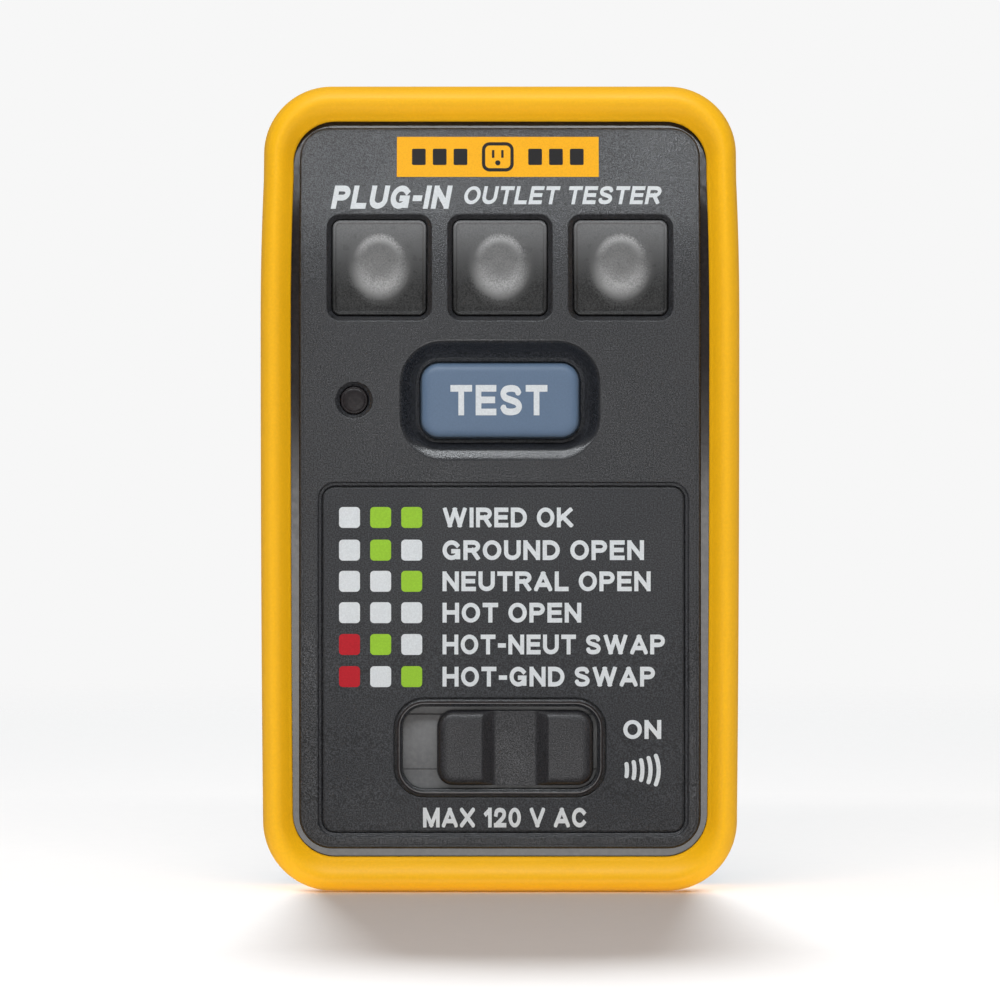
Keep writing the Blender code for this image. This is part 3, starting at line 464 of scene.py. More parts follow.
def smoked_window_painted_light(width, height):
    """Smoky frosted window with painted light: painted shade darkens it towards the bottom corners, and the
    unlit lamp's dome behind it is painted in as a soft glow with painted highlights.

    width and height are those of the whole lens in millimetres, so that places come out in millimetres.
    """
    material, tree = new_material("smoked_window_painted_light", Specular_IOR_Level=0.2, Coat_Weight=0.08,
                                  Coat_Roughness=0.2)

    def do(operation, *values):
        return maths(tree, operation, *values)

    place = node(tree, "ShaderNodeTexCoord")
    axes = node(tree, "ShaderNodeSeparateXYZ")
    tree.links.new(place.outputs["Generated"], axes.inputs["Vector"])
    frost = noise(tree, 1000 / 0.13, 2.0, 0.6)
    wobble = do("MULTIPLY", do("SUBTRACT", frost, 0.5), 0.5)
    x, v = (do("ADD", do("MULTIPLY", do("SUBTRACT", axes.outputs[axis], 0.5), length), wobble)
            for axis, length in (("X", width), ("Z", height)))

    def oval(centre_x, centre_v, half_width, half_height):
        """0 in the middle of an oval, 1 at its edge."""
        dx = do("DIVIDE", do("SUBTRACT", x, centre_x), half_width)
        dv = do("DIVIDE", do("SUBTRACT", v, centre_v), half_height)
        return do("SQRT", do("ADD", do("MULTIPLY", dx, dx), do("MULTIPLY", dv, dv)))

    def near(value, at, reach):
        """1 where the value is this, falling to 0 at this distance from it."""
        return spread(tree, do("ABSOLUTE", do("SUBTRACT", value, at)), 1.0, 0.0, reach * 0.1, reach)

    # The lamp's dome is painted into the colour: a painted glow, painted highlights on its rim, along its
    # crown and in a lower crescent, and a painted light spot in its middle.
    dome = oval(0.0, 0.25, 2.3, 2.65)
    painted_glow = spread(tree, oval(0.05, 0.0, 3.1, 3.6), 1.0, 0.0, 0.40, 1.0)
    crown = do("MULTIPLY", near(dome, 0.90, 0.20), spread(tree, v, 0.0, 0.8, 0.8, 2.6))
    painted_rim_light = do("MULTIPLY", near(dome, 0.80, 0.28), 0.22)
    painted_crescent = do("MULTIPLY", near(dome, 0.70, 0.55), spread(tree, v, 0.85, 0.0, -1.6, 0.8))
    painted_spot = spread(tree, oval(-0.15, 0.2, 1.3, 1.4), 0.45, 0.0, 0.5, 1.1)
    # fall paints the window lighter towards the top and darker towards the bottom: painted light above and
    # painted shade below.
    fall = do("POWER", spread(tree, v, 0.0, 1.0, -2.6, 4.3), 1.5)
    toned = blend_colour(tree, fall, (0.006, 0.006, 0.006), (0.205, 0.206, 0.209))
    toned = blend_colour(tree, do("MULTIPLY", painted_glow, 0.85), toned, (0.20, 0.20, 0.199))
    frosting = spread(tree, frost, 0.0, 0.55)
    for share, tone in ((painted_rim_light, 0.38), (painted_spot, 0.235), (crown, 0.50), (painted_crescent, 0.46), (frosting, 0.075)):
        toned = blend_colour(tree, share, toned, (tone, tone, tone))
    dulled = spread(tree, noise(tree, 1000 / 0.8), 0.26, 0.38)
    return plug(material, Base_Color=toned, Roughness=dulled, Normal=bump(tree, frost, 0.006))


def board_green():
    """Solder mask over copper: darker bands with thin paler tracks."""
    material, tree = new_material("board_green", Roughness=0.35, Coat_Weight=0.3)
    tracks = node(tree, "ShaderNodeTexBrick", Scale=260.0, Color1=(0.012, 0.075, 0.030, 1),
                  Color2=(0.016, 0.095, 0.038, 1), Mortar=(0.045, 0.190, 0.080, 1))
    tree.links.new(node(tree, "ShaderNodeTexCoord").outputs["Object"], tracks.inputs["Vector"])
    return plug(material, Base_Color=tracks.outputs["Color"], Normal=bump(tree, tracks.outputs["Fac"], 0.03))


LENS_LOW, LENS_HIGH = node_box("window_lens_left")
SMOKED_WINDOW_PAINTED_LIGHT = smoked_window_painted_light(LENS_HIGH.x - LENS_LOW.x, LENS_HIGH.z - LENS_LOW.z)
INSIDE = [
    (moulded("lamp_epoxy", (0.55, 0.56, 0.54), 0.18, grain=0.6, depth=0.001, Coat_Weight=0.5),
     ("led_left", "led_centre", "led_right", "indicator_led")),
    (moulded("black_plastic", (0.018, 0.018, 0.020), 0.45, grain=0.2),
     ("light_baffle", "tact_switch_base", "slide_actuator", "control_chip", "diode", "buzzer")),
    (moulded("plunger_red", (0.35, 0.03, 0.02), 0.4, grain=0.3, depth=0.002), ("tact_plunger",)),
    (moulded("ceramic_white", (0.62, 0.58, 0.50), 0.75, grain=0.18, depth=0.02, mottle=0.08),
     ("test_load_resistor",)),
    (moulded("resistor_blue", (0.16, 0.34, 0.48), 0.35, grain=0.5, depth=0.003),
     ("resistor_a", "resistor_b", "resistor_c")),
    (moulded("sleeve_blue", (0.02, 0.035, 0.14), 0.28, grain=0.8, depth=0.003), ("filter_capacitor",)),
    (moulded("carrier_tan", (0.30, 0.28, 0.24), 0.6, grain=0.22, depth=0.012), ("blade_carrier",)),
    (metal("switch_steel", (0.60, 0.60, 0.58), 0.28), ("slide_switch_body",)),
    (board_green(), ("main_board",)),
]
for inner_material, names in INSIDE:
    for inner_name in names:
        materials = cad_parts[inner_name].data.materials
        materials.clear()
        materials.append(inner_material)


# ---------------------------------------------------------------- front cover

# A profile is (how far outside the outline, depth behind the face) pairs.
PANEL_EDGE = [(-0.44, 0.0), (-0.36, 0.0), (-0.31, 0.012), (-0.26, 0.012), (-0.21, 0.0), (-0.14, 0.0),
              (-0.09, 0.015), (-0.04, 0.05), (-0.01, 0.10), (0.0, 0.16), (0.0, 0.72), (0.02, 0.77),
              (0.06, LEDGE_DEPTH), (0.09, LEDGE_DEPTH), (0.13, LEDGE_DEPTH)]
WINDOW_LIP = [(0.16, 0.0), (0.06, 0.0), (0.01, 0.02), (-0.04, 0.07), (-0.30, 0.42), (-0.38, 0.50),
              (-0.40, 0.62), (-0.40, PANEL_THICKNESS)]
BED_LIP = [(0.66, 0.0), (0.50, 0.0), (0.47, 0.02), (0.445, 0.07), (0.42, 0.11), (0.37, 0.125), (0.22, 0.125),
           (0.16, 0.15), (0.12, 0.24), (0.08, 0.36), (0.08, 0.50)]
RIM = [(0.70, 0.50), (0.70, -0.05), (0.685, -0.11), (0.65, -0.155), (0.58, -0.19), (0.50, -0.215),
       (0.42, -0.24), (0.34, -0.26), (0.26, -0.26), (0.19, -0.22), (0.13, -0.16), (0.08, -0.13),
       (0.02, -0.11), (0.0, -0.05), (0.0, WEB)]
# The hole for the small round lens, as (radius, depth).
ROUND_HOLE = [(1.80, 0.0), (1.70, 0.0), (1.66, 0.02), (1.63, 0.06), (1.44, 0.22), (1.34, 0.26), (1.31, 0.32),
              (1.31, PANEL_THICKNESS)]
# The button well: share of the way from its rim to its floor, depth there, and depth along its lower side.
WELL_SLOPE = [(0.0, 0.0, 0.0), (0.04, 0.01, 0.005), (0.09, 0.045, 0.017), (0.16, 0.13, 0.042),
              (0.26, 0.30, 0.086), (0.36, 0.48, 0.132), (0.46, 0.64, 0.178), (0.54, 0.76, 0.216),
              (0.66, 0.90, 0.30), (0.80, 1.03, 0.58), (0.92, 1.12, 0.97), (1.0, 1.18, 1.18)]
SHUTTER_TRACK = rect(21.4 + KNOB_TRAVEL + 0.9, 9.5, 1.2)
CASE_OPTIONS = (12, 30, steps(-29, 29, 58))
BUTTON_CENTRE = (BUTTON_X, BUTTON_V)
LEGEND_OPTIONS = (10, 24, 28, (LEGEND_X, LEGEND_V))
SLOT_OPTIONS = (12, 16, 6, (0, SWITCH_V))
BORE, BORE_END = 1.35, -21.5  # of the threaded hole in a screw post


def in_well(steep, gentle):
    """Places in the button well: the gentle depth along its lower side, the steep one elsewhere."""
    return lambda x, v: (x, FACE + steep + (gentle - steep) * smooth((BUTTON_V - 2.0 - v) / 2.6), v)


def front_cover():
    skin = Skin()
    panel_rings = rings_of(PANEL, PANEL_EDGE, CASE_OPTIONS)
    ledge_from = 9  # the ledge's finish starts at this ring, below the panel's rounded edge
    skin.band(panel_rings[:ledge_from + 1])
    skin.band(panel_rings[ledge_from:], 1)
    shoulder = outline(SHOULDER, *CASE_OPTIONS)
    skin.band([panel_rings[-1], lay(shoulder, on_face(LEDGE_DEPTH))], 1)
    cavity = outline(CAVITY, *CASE_OPTIONS)

    def step_back(extra):
        return lambda x, v: (x, bumper_back(v) + extra, v)

    foot = [(0, COVER_BACK - 0.25), (-0.03, COVER_BACK - 0.10), (-0.12, COVER_BACK)]
    skin.band([
        lay(shoulder, on_face(LEDGE_DEPTH)),
        lay(shoulder, step_back(0.10)),
        *rings_of(CASE, [(-0.12, 0.10), (0, 0.22)], CASE_OPTIONS, step_back),
        *rings_of(CASE, foot, CASE_OPTIONS, at_y),
        lay(cavity, at_y(COVER_BACK)),
        lay(cavity, on_face(PANEL_THICKNESS)),
    ])

    front_holes, back_holes = [], []
    for centre in LENSES.values():
        options = (8, 8, 12, centre)
        skin.band(rings_of(WINDOW, WINDOW_LIP, options))
        front_holes.append(outline(grown(WINDOW, WINDOW_LIP[0][0]), *options))
        back_holes.append(outline(grown(WINDOW, WINDOW_LIP[-1][0]), *options))

    cap_opening = grown(CAP, 0.16)
    floor = grown(cap_opening, 0.32)
    options = (14, 20, 8, BUTTON_CENTRE)
    well_rings = rings_of(WELL, [(0.12, 0)], options)
    well_rings += [lay(outline(mixed(WELL, floor, share), *options), in_well(steep, gentle))
                   for share, steep, gentle in WELL_SLOPE]
    neck = [(0.06, 1.19), (0.02, 1.21), (0.0, 1.26), (0.0, PANEL_THICKNESS)]
    well_rings += rings_of(cap_opening, neck, options)
    skin.band(well_rings[:2])
    skin.band(well_rings[1:10], 2)  # the well's slope, without its floor
    skin.band(well_rings[9:])
    front_holes.append(outline(grown(WELL, 0.12), *options))
    back_holes.append(outline(cap_opening, *options))

    hole_loops = [circle(radius, 40, (INDICATOR_X, INDICATOR_V)) for radius, _ in ROUND_HOLE]
    skin.band([lay(loop, on_face(depth)) for loop, (_, depth) in zip(hole_loops, ROUND_HOLE)])
    front_holes.append(hole_loops[0])
    back_holes.append(hole_loops[-1])

    skin.band(rings_of(LEGEND, BED_LIP, LEGEND_OPTIONS))
    front_holes.append(outline(grown(LEGEND, BED_LIP[0][0]), *LEGEND_OPTIONS))
    slot_rings = rings_of(SLOT, RIM, SLOT_OPTIONS)
    slot_rings += rings_of(SHUTTER_TRACK, [(0, WEB), (0, PANEL_THICKNESS)], SLOT_OPTIONS)
    skin.band(slot_rings[:6])
    skin.band(slot_rings[5:9], 1)  # the glossy crest of the rim
    skin.band(slot_rings[8:])
    back_holes.append(outline(SHUTTER_TRACK, *SLOT_OPTIONS))
    columns = steps(-18, 18, 30)
    lid(skin, LEGEND, BED_LIP[-1], LEGEND_OPTIONS, holes=[outline(grown(SLOT, RIM[0][0]), *SLOT_OPTIONS)],
        grid=grid_of(columns, steps(-32, 0, 24)))
    lid(skin, PANEL, PANEL_EDGE[0], CASE_OPTIONS, holes=front_holes,
        grid=grid_of(columns, steps(-33, 33, 66)))

    for x, v in SCREWS.values():
        root, end = FACE + PANEL_THICKNESS + drop(v), COVER_BACK - 0.2
        bottom = max(BORE_END, root)
        post = circle(POST, 24, (x, v))
        skin.band([lay(post, on_face(PANEL_THICKNESS)), lay(post, at_y(end)),
                   lay(circle(BORE, 24, (x, v)), at_y(end))])
        turned(skin, [(BORE, end), (BORE, bottom), (0, bottom)], (x, v), 24)
        back_holes.append(post)
    skin.sheet(cavity, back_holes, on_face(PANEL_THICKNESS), grid_of(steps(-18, 18, 16), steps(-33, 33, 44)))
    piece("cover_shell", skin, [PANEL_GREY, LEDGE_BLACK, WELL_GREY], "case",
          ["front_cover"], 50)


# ---------------------------------------------------------------- bumper

def groove_depth(y, v, ridges, length, width=0.66, depth=0.46):
    """How deep the finger grooves are at a place on the side of the case."""
    ends = smooth((length / 2 - abs(v - TONGUE_V)) / 0.9 + 0.5)
    near = min(abs(y - at) for at in ridges)
    return ends * depth * 0.5 * (1 + math.cos(math.pi * min(near / width, 1)))


def drawn_in(points):
    """An outline whose sides draw in towards its ends."""
    drawn = []
    for x, v in points:
        if v > WIDEST_V:
            amount = DRAW_IN_TOP * min((v - WIDEST_V) / DRAW_IN_TOP_REACH, 1) ** 2
        else:
            amount = DRAW_IN_LOW * min((WIDEST_V - v) / DRAW_IN_LOW_REACH, 1) ** 2
        drawn.append((x * (1 - amount / BUMPER_OUTER[0]), v))
    return drawn


def bumper():
    skin = Skin()
    down = steps(-29.4, 29.6, 118)
    outer = drawn_in(outline(BUMPER_OUTER, 20, 24, down))
    inner = drawn_in(outline(BUMPER_INNER, 20, 24, down))
    sleeve = outline(grown(SHOULDER, 0.12), 20, 24, down)
    section = curve_through([(0.0, -1.6), (0.008, -0.8), (0.045, 0.0), (0.14, 0.95), (0.30, 1.60),
                             (0.46, 1.80), (0.62, 1.55), (0.78, 0.95), (0.92, 0.25)], 4)

    rounding = 0.25  # of the rear edge

    def skirt(share):
        """The ring this share of the way from the rear edge to the ridge."""
        ring = []
        for x, v in outer:
            back = bumper_back(v)
            y = back + (FACE + 1.6 + drop(v) - back) * share
            side = groove_depth(y, v, (-24.5, -22.0, -19.5), 19.0) if abs(x) > 20.5 else 0
            into_edge = min(max(1 - (y - back) / rounding, 0), 1)
            edge = rounding * (1 - math.sqrt(1 - into_edge ** 2))
            ring.append((x * (1 - (side + edge) / BUMPER_OUTER[0]), y, v * (1 - edge / 36.5)))
        return ring

    shares = [0, 0.004, 0.01, 0.02] + steps(0.03, 1.0, 70)
    rings = [skirt(s) for s in shares]
    slope = [(share, -min(rise, RIDGE_RISE)) for share, rise in section[1:]] + [(0.985, -0.02)]
    for share, depth in slope:
        rings.append(lay([mixed(a, b, share) for a, b in zip(outer, inner)], on_face(depth)))
    floor = on_face(LEDGE_DEPTH - 0.03)
    rings += [lay(inner, on_face(0.18)), lay(inner, floor), lay(sleeve, floor)]
    rings.append([(x, bumper_back(v), v) for x, v in sleeve])
    skin.band(rings, loop=True)
    piece("bumper_ring", skin, [BUMPER_YELLOW], "case", ["bumper"], 60)


# ---------------------------------------------------------------- face parts

def window_lenses():
    edge = grown(WINDOW, -0.48)
    flange = 0.9  # how far the lens's rear frame reaches out and in from its edge
    back_y = node_box("window_lens_left")[1].y
    rear, pocket = PANEL_THICKNESS + 0.3, 1.75
    bead = [(0.0, rear), (0.0, 0.80), (0.0, 0.66), (-0.02, 0.60), (-0.06, 0.545), (-0.12, 0.515),
            (-0.19, 0.51), (-0.25, 0.525), (-0.30, 0.56), (-0.335, 0.60), (-0.37, 0.615), (-0.46, 0.62)]
    for side, centre in LENSES.items():
        skin = Skin()
        options = (8, 8, 12, centre)
        skin.band(rings_of(edge, bead, options))
        lid(skin, edge, bead[-1], options,
            grid=grid_of(steps(centre[0] - 4, centre[0] + 4, 8), steps(centre[1] - 4, centre[1] + 4, 12)))
        skin.band(rings_of(edge, [(0, rear), (flange, rear)], options)
                  + rings_of(edge, [(flange, back_y), (-flange, back_y)], options, at_y)
                  + rings_of(edge, [(-flange, pocket)], options))
        lid(skin, edge, (-flange, pocket), options)
        piece(f"lens_{side}", skin, [SMOKED_WINDOW_PAINTED_LIGHT], "case", [f"window_lens_{side}"])


def indicator():
    skin = Skin()
    end = node_box("indicator_lens")[1].y - FACE
    profile = [(0, 0.10), (0.5, 0.10), (0.92, 0.11), (1.00, 0.13), (1.04, 0.15), (1.09, 0.15), (1.16, 0.14),
               (1.21, 0.17), (1.24, 0.24), (1.25, 0.34), (1.25, 2.7), (2.0, 2.7), (2.0, 3.5), (1.0, 3.5),
               (1.0, end), (0, end)]
    turned(skin, [(r, FACE + depth) for r, depth in profile], (INDICATOR_X, INDICATOR_V), 40)
    piece("indicator_window", skin, [INDICATOR_DARK], "case", ["indicator_lens"])


def test_button():
    skin = Skin()
    options = (14, 16, 6, BUTTON_CENTRE)
    end_y = node_box("test_button")[1].y
    pillow = [(-1.3, -0.497), (-0.95, -0.49), (-0.70, -0.475), (-0.52, -0.45), (-0.38, -0.41), (-0.26, -0.35),
              (-0.16, -0.27), (-0.08, -0.16), (-0.03, -0.04), (0.0, 0.12), (0.0, 2.7), (1.2, 2.7), (1.2, 3.5)]
    skin.band(rings_of(CAP, pillow, options))
    lid(skin, CAP, pillow[0], options)
    stem = circle(1.6, 32, BUTTON_CENTRE)
    lid(skin, CAP, pillow[-1], options, holes=[stem])
    skin.band([lay(stem, on_face(3.5)), lay(stem, at_y(end_y))])
    skin.face(lay(stem, at_y(end_y)))
    piece("button_cap", skin, [BUTTON_BLUE], "button", ["test_button"])


def legend_plate():
    skin = Skin()
    edge = [(-0.14, 0.0), (-0.07, 0.0), (-0.02, 0.015), (0.0, 0.05), (0.0, 0.45)]
    inner = [(0.93, 0.0), (0.85, 0.0), (0.80, 0.02), (0.78, 0.06), (0.78, 0.45)]
    skin.band(rings_of(LEGEND, edge, LEGEND_OPTIONS))
    skin.band(rings_of(SLOT, inner, SLOT_OPTIONS))
    for at in (0, -1):
        lid(skin, LEGEND, edge[at], LEGEND_OPTIONS, holes=[outline(grown(SLOT, inner[at][0]), *SLOT_OPTIONS)],
            grid=grid_of(steps(-16, 16, 24), steps(-31, 0, 31)))
    piece("legend_overlay", skin, [LEGEND_GREY], "case", ["legend_plate"])


def slide_knob():
    skin = Skin()
    centre = (KNOB_X, SWITCH_V)
    base = FACE + drop(SWITCH_V)
    end_y = node_box("slide_knob")[1].y
    valley_x = [0.0, 1.70, 1.88, 2.00, 2.12, 2.86, 2.93, 3.00, 3.08, 3.18]
    valley_y = [0.75, 0.75, 0.738, 0.705, 0.64, 0.07, 0.035, 0.012, 0.002, 0.0]
    right = valley_x[1:] + [4.0, 4.6, 5.2]
    across = [-x for x in right[::-1]] + [0.0] + right
    falls = [(0.0, WEB + 1.0), (0.0, 0.80), (-0.03, 0.62), (-0.09, 0.42), (-0.18, 0.25), (-0.30, 0.12),
             (-0.44, 0.045), (-0.60, 0.01), (-0.75, 0.0)]

    def top(fall):
        def place(x, v):
            valley = float(np.interp(abs(x - KNOB_X), valley_x, valley_y))
            blend = max(valley, fall) + 0.03 * max(0, 1 - abs(valley - fall) / 0.12) ** 2 * (fall > 0)
            return (x, base - 1.0 + blend, v)
        return place

    options = (10, across, 6, centre)
    under = at_y(base + WEB)
    skin.band(rings_of(KNOB, falls, options, lambda fall: top(fall) if fall < 2 else under))
    lid(skin, KNOB, falls[-1], options, top,
        grid=grid_of([KNOB_X + x for x in across + [-6.0, 6.0]], steps(SWITCH_V - 2.4, SWITCH_V + 2.4, 8)))
    neck = outline(rect(4.4, 3.4, 0.6), 6, 1, 1, centre)
    shank = outline(rect(6.4, 5.4, 1.6), 6, 1, 1, centre)
    skin.sheet(outline(KNOB, *options), [neck], under)
    step = at_y(base + 2.85)
    skin.band([lay(neck, under), lay(neck, step), lay(shank, step), lay(shank, at_y(end_y))])
    skin.face(lay(shank, at_y(end_y)))
    piece("slide_thumb", skin, [KNOB_GREY], "switch_slider", ["slide_knob"], 45)


def slide_shutter():
    skin = Skin()
    centre = (KNOB_X, SWITCH_V)
    low_box, high_box = node_box("slide_shutter")
    front_y = low_box.y
    plate = rect(high_box.x - low_box.x, high_box.z - low_box.z, 0.8)
    rows = [v for at in (-2.0, 3.0) for v in (at - 0.08, at - 0.03, at + 0.03, at + 0.08)]
    options = (6, 12, rows, centre)

    def front(x, v):
        """Two fine steps run along the plate, above and below its brighter middle."""
        up = v - SWITCH_V
        return (x, front_y - 0.12 + 0.06 * smooth((up - 2.95) / 0.1) + 0.06 * smooth((-1.95 - up) / 0.1), v)

    neck = outline(rect(5.0, 4.0, 0.7), 6, 1, 1, centre)
    rim = outline(plate, *options)
    skin.sheet(rim, [neck], front,
               grid_of(steps(KNOB_X - 10, KNOB_X + 10, 12), [SWITCH_V + row for row in rows]))
    skin.sheet(rim, [neck], at_y(high_box.y))
    for loop in (rim, neck):
        skin.band([lay(loop, front), lay(loop, at_y(high_box.y))])
    piece("shutter_plate", skin, [SHUTTER_GREY], "switch_slider", ["slide_shutter"])


# ---------------------------------------------------------------- back parts

HOUSING_POST, HOUSING_WELL, SCREW_BORE = 2.37, 2.25, 1.3
LABEL = rect(24.0, 11.0, 1.0)
LABEL_OPTIONS = (8, 8, 4, (LABEL_X, LABEL_V))
SOUND_SLOT = rect(1.2, 6.0, 0.5)
SEAT_Y = -5.0  # where the screw heads sit
SHOULDER_Y = -7.2  # where the prongs widen from their roots
BACK_WALL = 2.2


def rear_housing():
    skin = Skin()
    down = steps(-29, 29, 116)
    options = (12, 30, down)
    wall = curve_through([(0.0, HOUSING_FRONT + 0.25), (-0.05, -10.6), (-0.2, -9.0), (-0.5, -5.6),
                          (-0.82, -2.6), (-1.0, -1.3), (-1.22, -0.6), (-1.48, -0.2), (-1.8, 0.0)], 12)
    wall = [(-0.12, HOUSING_FRONT), (-0.03, HOUSING_FRONT + 0.10)] + wall

    def side_ring(out, y):
        ring = []
        for x, v in outline(grown(CASE, out), *options):
            groove = groove_depth(y, v, (-9.6, -7.6, -5.6), 26.0) if abs(x) > 19.4 else 0
            ring.append((x - math.copysign(groove, x), y, v))
        return ring

    cavity = outline(CAVITY, *options)
    skin.band([lay(cavity, at_y(-BACK_WALL)), lay(cavity, at_y(HOUSING_FRONT))]
              + [side_ring(out, y) for out, y in wall])
    back_holes, inner_holes = [], []

    def through(loops, depths, back=True):
        skin.band([lay(loop, at_y(y)) for loop, y in zip(loops, depths)])
        back_holes.append(loops[0])
        if back:
            inner_holes.append(loops[-1])

    lip = (0, 0, -0.04, -0.14)  # Y of the rounded edge of each opening

    def slot(shape, centre):
        loops = [outline(grown(shape, out), 5, 2, 4, centre) for out in (0.14, 0.11, 0.03, 0.0, 0.0)]
        through(loops, (*lip, -BACK_WALL))

    for i in range(-2, 3):
        slot(SOUND_SLOT, (2.4 * i, BUZZER_V))
    for centre in BLADES.values():
        slot(rect(1.86, 6.7, 0.25), centre)
    through([circle(r, 40, (PIN_X, PIN_V)) for r in (2.72, 2.69, 2.60, 2.56, 2.56)], (*lip, -BACK_WALL))
    post_end = HOUSING_FRONT + 0.2
    radii = [HOUSING_WELL + out for out in (0.14, 0.11, 0.03, 0, 0)]
    radii += [SCREW_BORE, SCREW_BORE, HOUSING_POST, HOUSING_POST]
    depths = (*lip, SEAT_Y, SEAT_Y, post_end, post_end, -BACK_WALL)
    for centre in SCREWS.values():
        through([circle(r, 40, centre) for r in radii], depths)
    bed = [(0.45, 0.0), (0.38, 0.0), (0.30, -0.03), (0.20, -0.16), (0.12, -0.40), (0.12, -0.45)]
    loops = [outline(grown(LABEL, out), *LABEL_OPTIONS) for out, _ in bed]
    through(loops, [y for _, y in bed], False)
    skin.sheet(loops[-1], [], at_y(bed[-1][1]))
    skin.sheet(outline(grown(CASE, -1.8), *options), back_holes, at_y(0))
    skin.sheet(cavity, inner_holes, at_y(-BACK_WALL))
    piece("housing_shell", skin, [HOUSING_GREY], "case", ["rear_housing"], 50)


def case_screws():
    for name, centre in SCREWS.items():
        skin = Skin()
        low_box, high_box = node_box(name)
        head = (high_box.x - low_box.x) / 2
        top = high_box.y
        arm, reach = 0.28, 1.15
        quarter = [(arm, reach), (arm, arm), (reach, arm)]
        cross = [turn for sign in (1, -1) for turn in (
            *((sign * x, sign * v) for x, v in quarter), *((sign * x, -sign * v) for x, v in quarter[::-1]))]
        recess = [[(centre[0] + x * s, centre[1] + v * s) for x, v in cross] for s in (1.06, 1.0, 0.72)]
        rim = circle(1.5, 40, centre)
        skin.sheet(rim, [recess[0]], at_y(top - 0.02))
        skin.band([lay(loop, at_y(top - down)) for loop, down in zip(recess, (0.02, 0.08, 0.85))])
        skin.sheet(recess[2], [], at_y(top - 0.85))
        dome = [(1.5, 0.02), (1.75, 0.07), (1.95, 0.2), (2.06, 0.42), (head, 0.7)]
        shank = [(head, SEAT_Y + 0.2), (1.05, SEAT_Y + 0.2), (1.05, low_box.y + 2), (0.4, low_box.y + 0.4),
                 (0, low_box.y)]
        turned(skin, [(r, top - down) for r, down in dome] + shank, centre, 40)
        piece(f"screw_{name[-1]}", skin, [SCREW_METAL], "case", [name])


def blades():
    width, thickness = 6.35, 1.52
    taper_y = BLADE_END - 1.9
    hole_y, hole_radius = 11.7, 1.6
    half, tail = width / 2, 1.5
    soft = 0.16

    def silhouette(inset):
        """Loop of (y, v) round the blade, drawn in by the inset."""
        h, end = half - inset, BLADE_END - inset
        tip = [(taper_y + (end - taper_y) * math.sin(a), h - 0.8 * (1 - math.cos(a)))
               for a in steps(0, math.pi / 2, 8)]
        root = [(PRONG_TAIL, tail - inset), (SHOULDER_Y, tail - inset), (SHOULDER_Y, h)]
        upper = [(y + inset, v) for y, v in root] + tip
        return upper + [(y, -v) for y, v in reversed(upper)]

    for name, centre in BLADES.items():
        skin = Skin()

        def half_thickness(y):
            return thickness / 2 - 0.41 * min(max((y - taper_y) / (BLADE_END - taper_y), 0), 1)

        def side(sign, inset):
            return lambda y, v: (centre[0] + sign * (half_thickness(y) - inset), y, centre[1] + v)

        edge = [(0.0, soft), (0.03, 0.09), (0.09, 0.03), (soft, 0.0), (soft + 0.1, 0.0)]
        rings = [lay(silhouette(a), side(1, b)) for a, b in reversed(edge)]
        rings += [lay(silhouette(a), side(-1, b)) for a, b in edge]
        skin.band(rings)
        loops = [circle(hole_radius + out, 32, (hole_y, 0)) for out in (0.2, 0.12, 0.03, 0)]
        hole = list(zip(loops, (0.0, 0.0, 0.04, 0.12)))
        skin.band([lay(loop, side(1, b)) for loop, b in hole]
                  + [lay(loop, side(-1, b)) for loop, b in hole[::-1]])
        ridge_points = grid_of((taper_y, taper_y + 0.1, 0, 4, 8, -4), steps(-2.4, 2.4, 6))
        for sign in (1, -1):
            skin.sheet(silhouette(edge[-1][0]), [loops[0]], side(sign, 0.0), ridge_points)
        piece(name.replace("blade", "prong"), skin, [PRONG_METAL], "case", [name])


def ground_pin():
    skin = Skin()
    radius, root = 2.375, 1.2
    tip = [(radius * math.cos(a), PIN_END - radius * (1 - math.sin(a))) for a in steps(0, math.pi / 2, 12)]
    profile = [(0, PRONG_TAIL), (root, PRONG_TAIL), (root, SHOULDER_Y), (radius - 0.1, SHOULDER_Y)]
    profile += [(radius, y) for y in (SHOULDER_Y + 0.1, -4, 4, 12)] + tip[:-1] + [(0, PIN_END)]
    turned(skin, profile, (PIN_X, PIN_V), 64)
    piece("ground_prong", skin, [PRONG_METAL], "case", ["ground_pin"])


def rating_label():
    skin = Skin()
    low_box, high_box = node_box("rating_label")
    profile = [(0, low_box.y), (0, high_box.y - 0.05), (-0.02, high_box.y - 0.01), (-0.07, high_box.y)]
    skin.band(rings_of(LABEL, profile, LABEL_OPTIONS, at_y))
    for end in (profile[-1], profile[0]):
        lid(skin, LABEL, end, LABEL_OPTIONS, at_y)
    piece("back_label", skin, [LABEL_SILVER], "case", ["rating_label"])


# ---------------------------------------------------------------- printing

def slab(skin, triangles, surface, lift, sunk):
    """A thin closed print, from flat faces of (x, v) points: its top stands lift above the surface."""
    top, under = surface(-lift), surface(sunk)
    seen = {}
    for face in triangles:
        skin.face([top(*p) for p in face])
        skin.face([under(*p) for p in reversed(face)])
        for a, b in zip(face, face[1:] + face[:1]):
            if (b, a) in seen:
                del seen[(b, a)]
            else:
                seen[(a, b)] = True
    for a, b in seen:
        skin.face([top(*b), top(*a), under(*a), under(*b)])


def shape_faces(loop, holes=()):
    """Triangles that fill a flat loop."""
    flat_skin = Skin()
    flat_skin.sheet(loop, list(holes), lambda x, v: (x, 0, v))
    faces = [[(round(p.co.x, 5), round(p.co.z, 5)) for p in face.verts] for face in flat_skin.mesh.faces]
    flat_skin.mesh.free()
    return [face if area_of(face) > 0 else face[::-1] for face in faces]


def area_of(face):
    return sum(a[0] * b[1] - b[0] * a[1] for a, b in zip(face, face[1:] + face[:1]))


def bend(x, v, half_width, half_height, start, end, parts=12):
    """Points along an oval from one angle to another, in degrees from the right, anticlockwise."""
    angles = [math.radians(a) for a in steps(start, end, parts)]
    return [(x + half_width * math.cos(a), v + half_height * math.sin(a)) for a in angles]


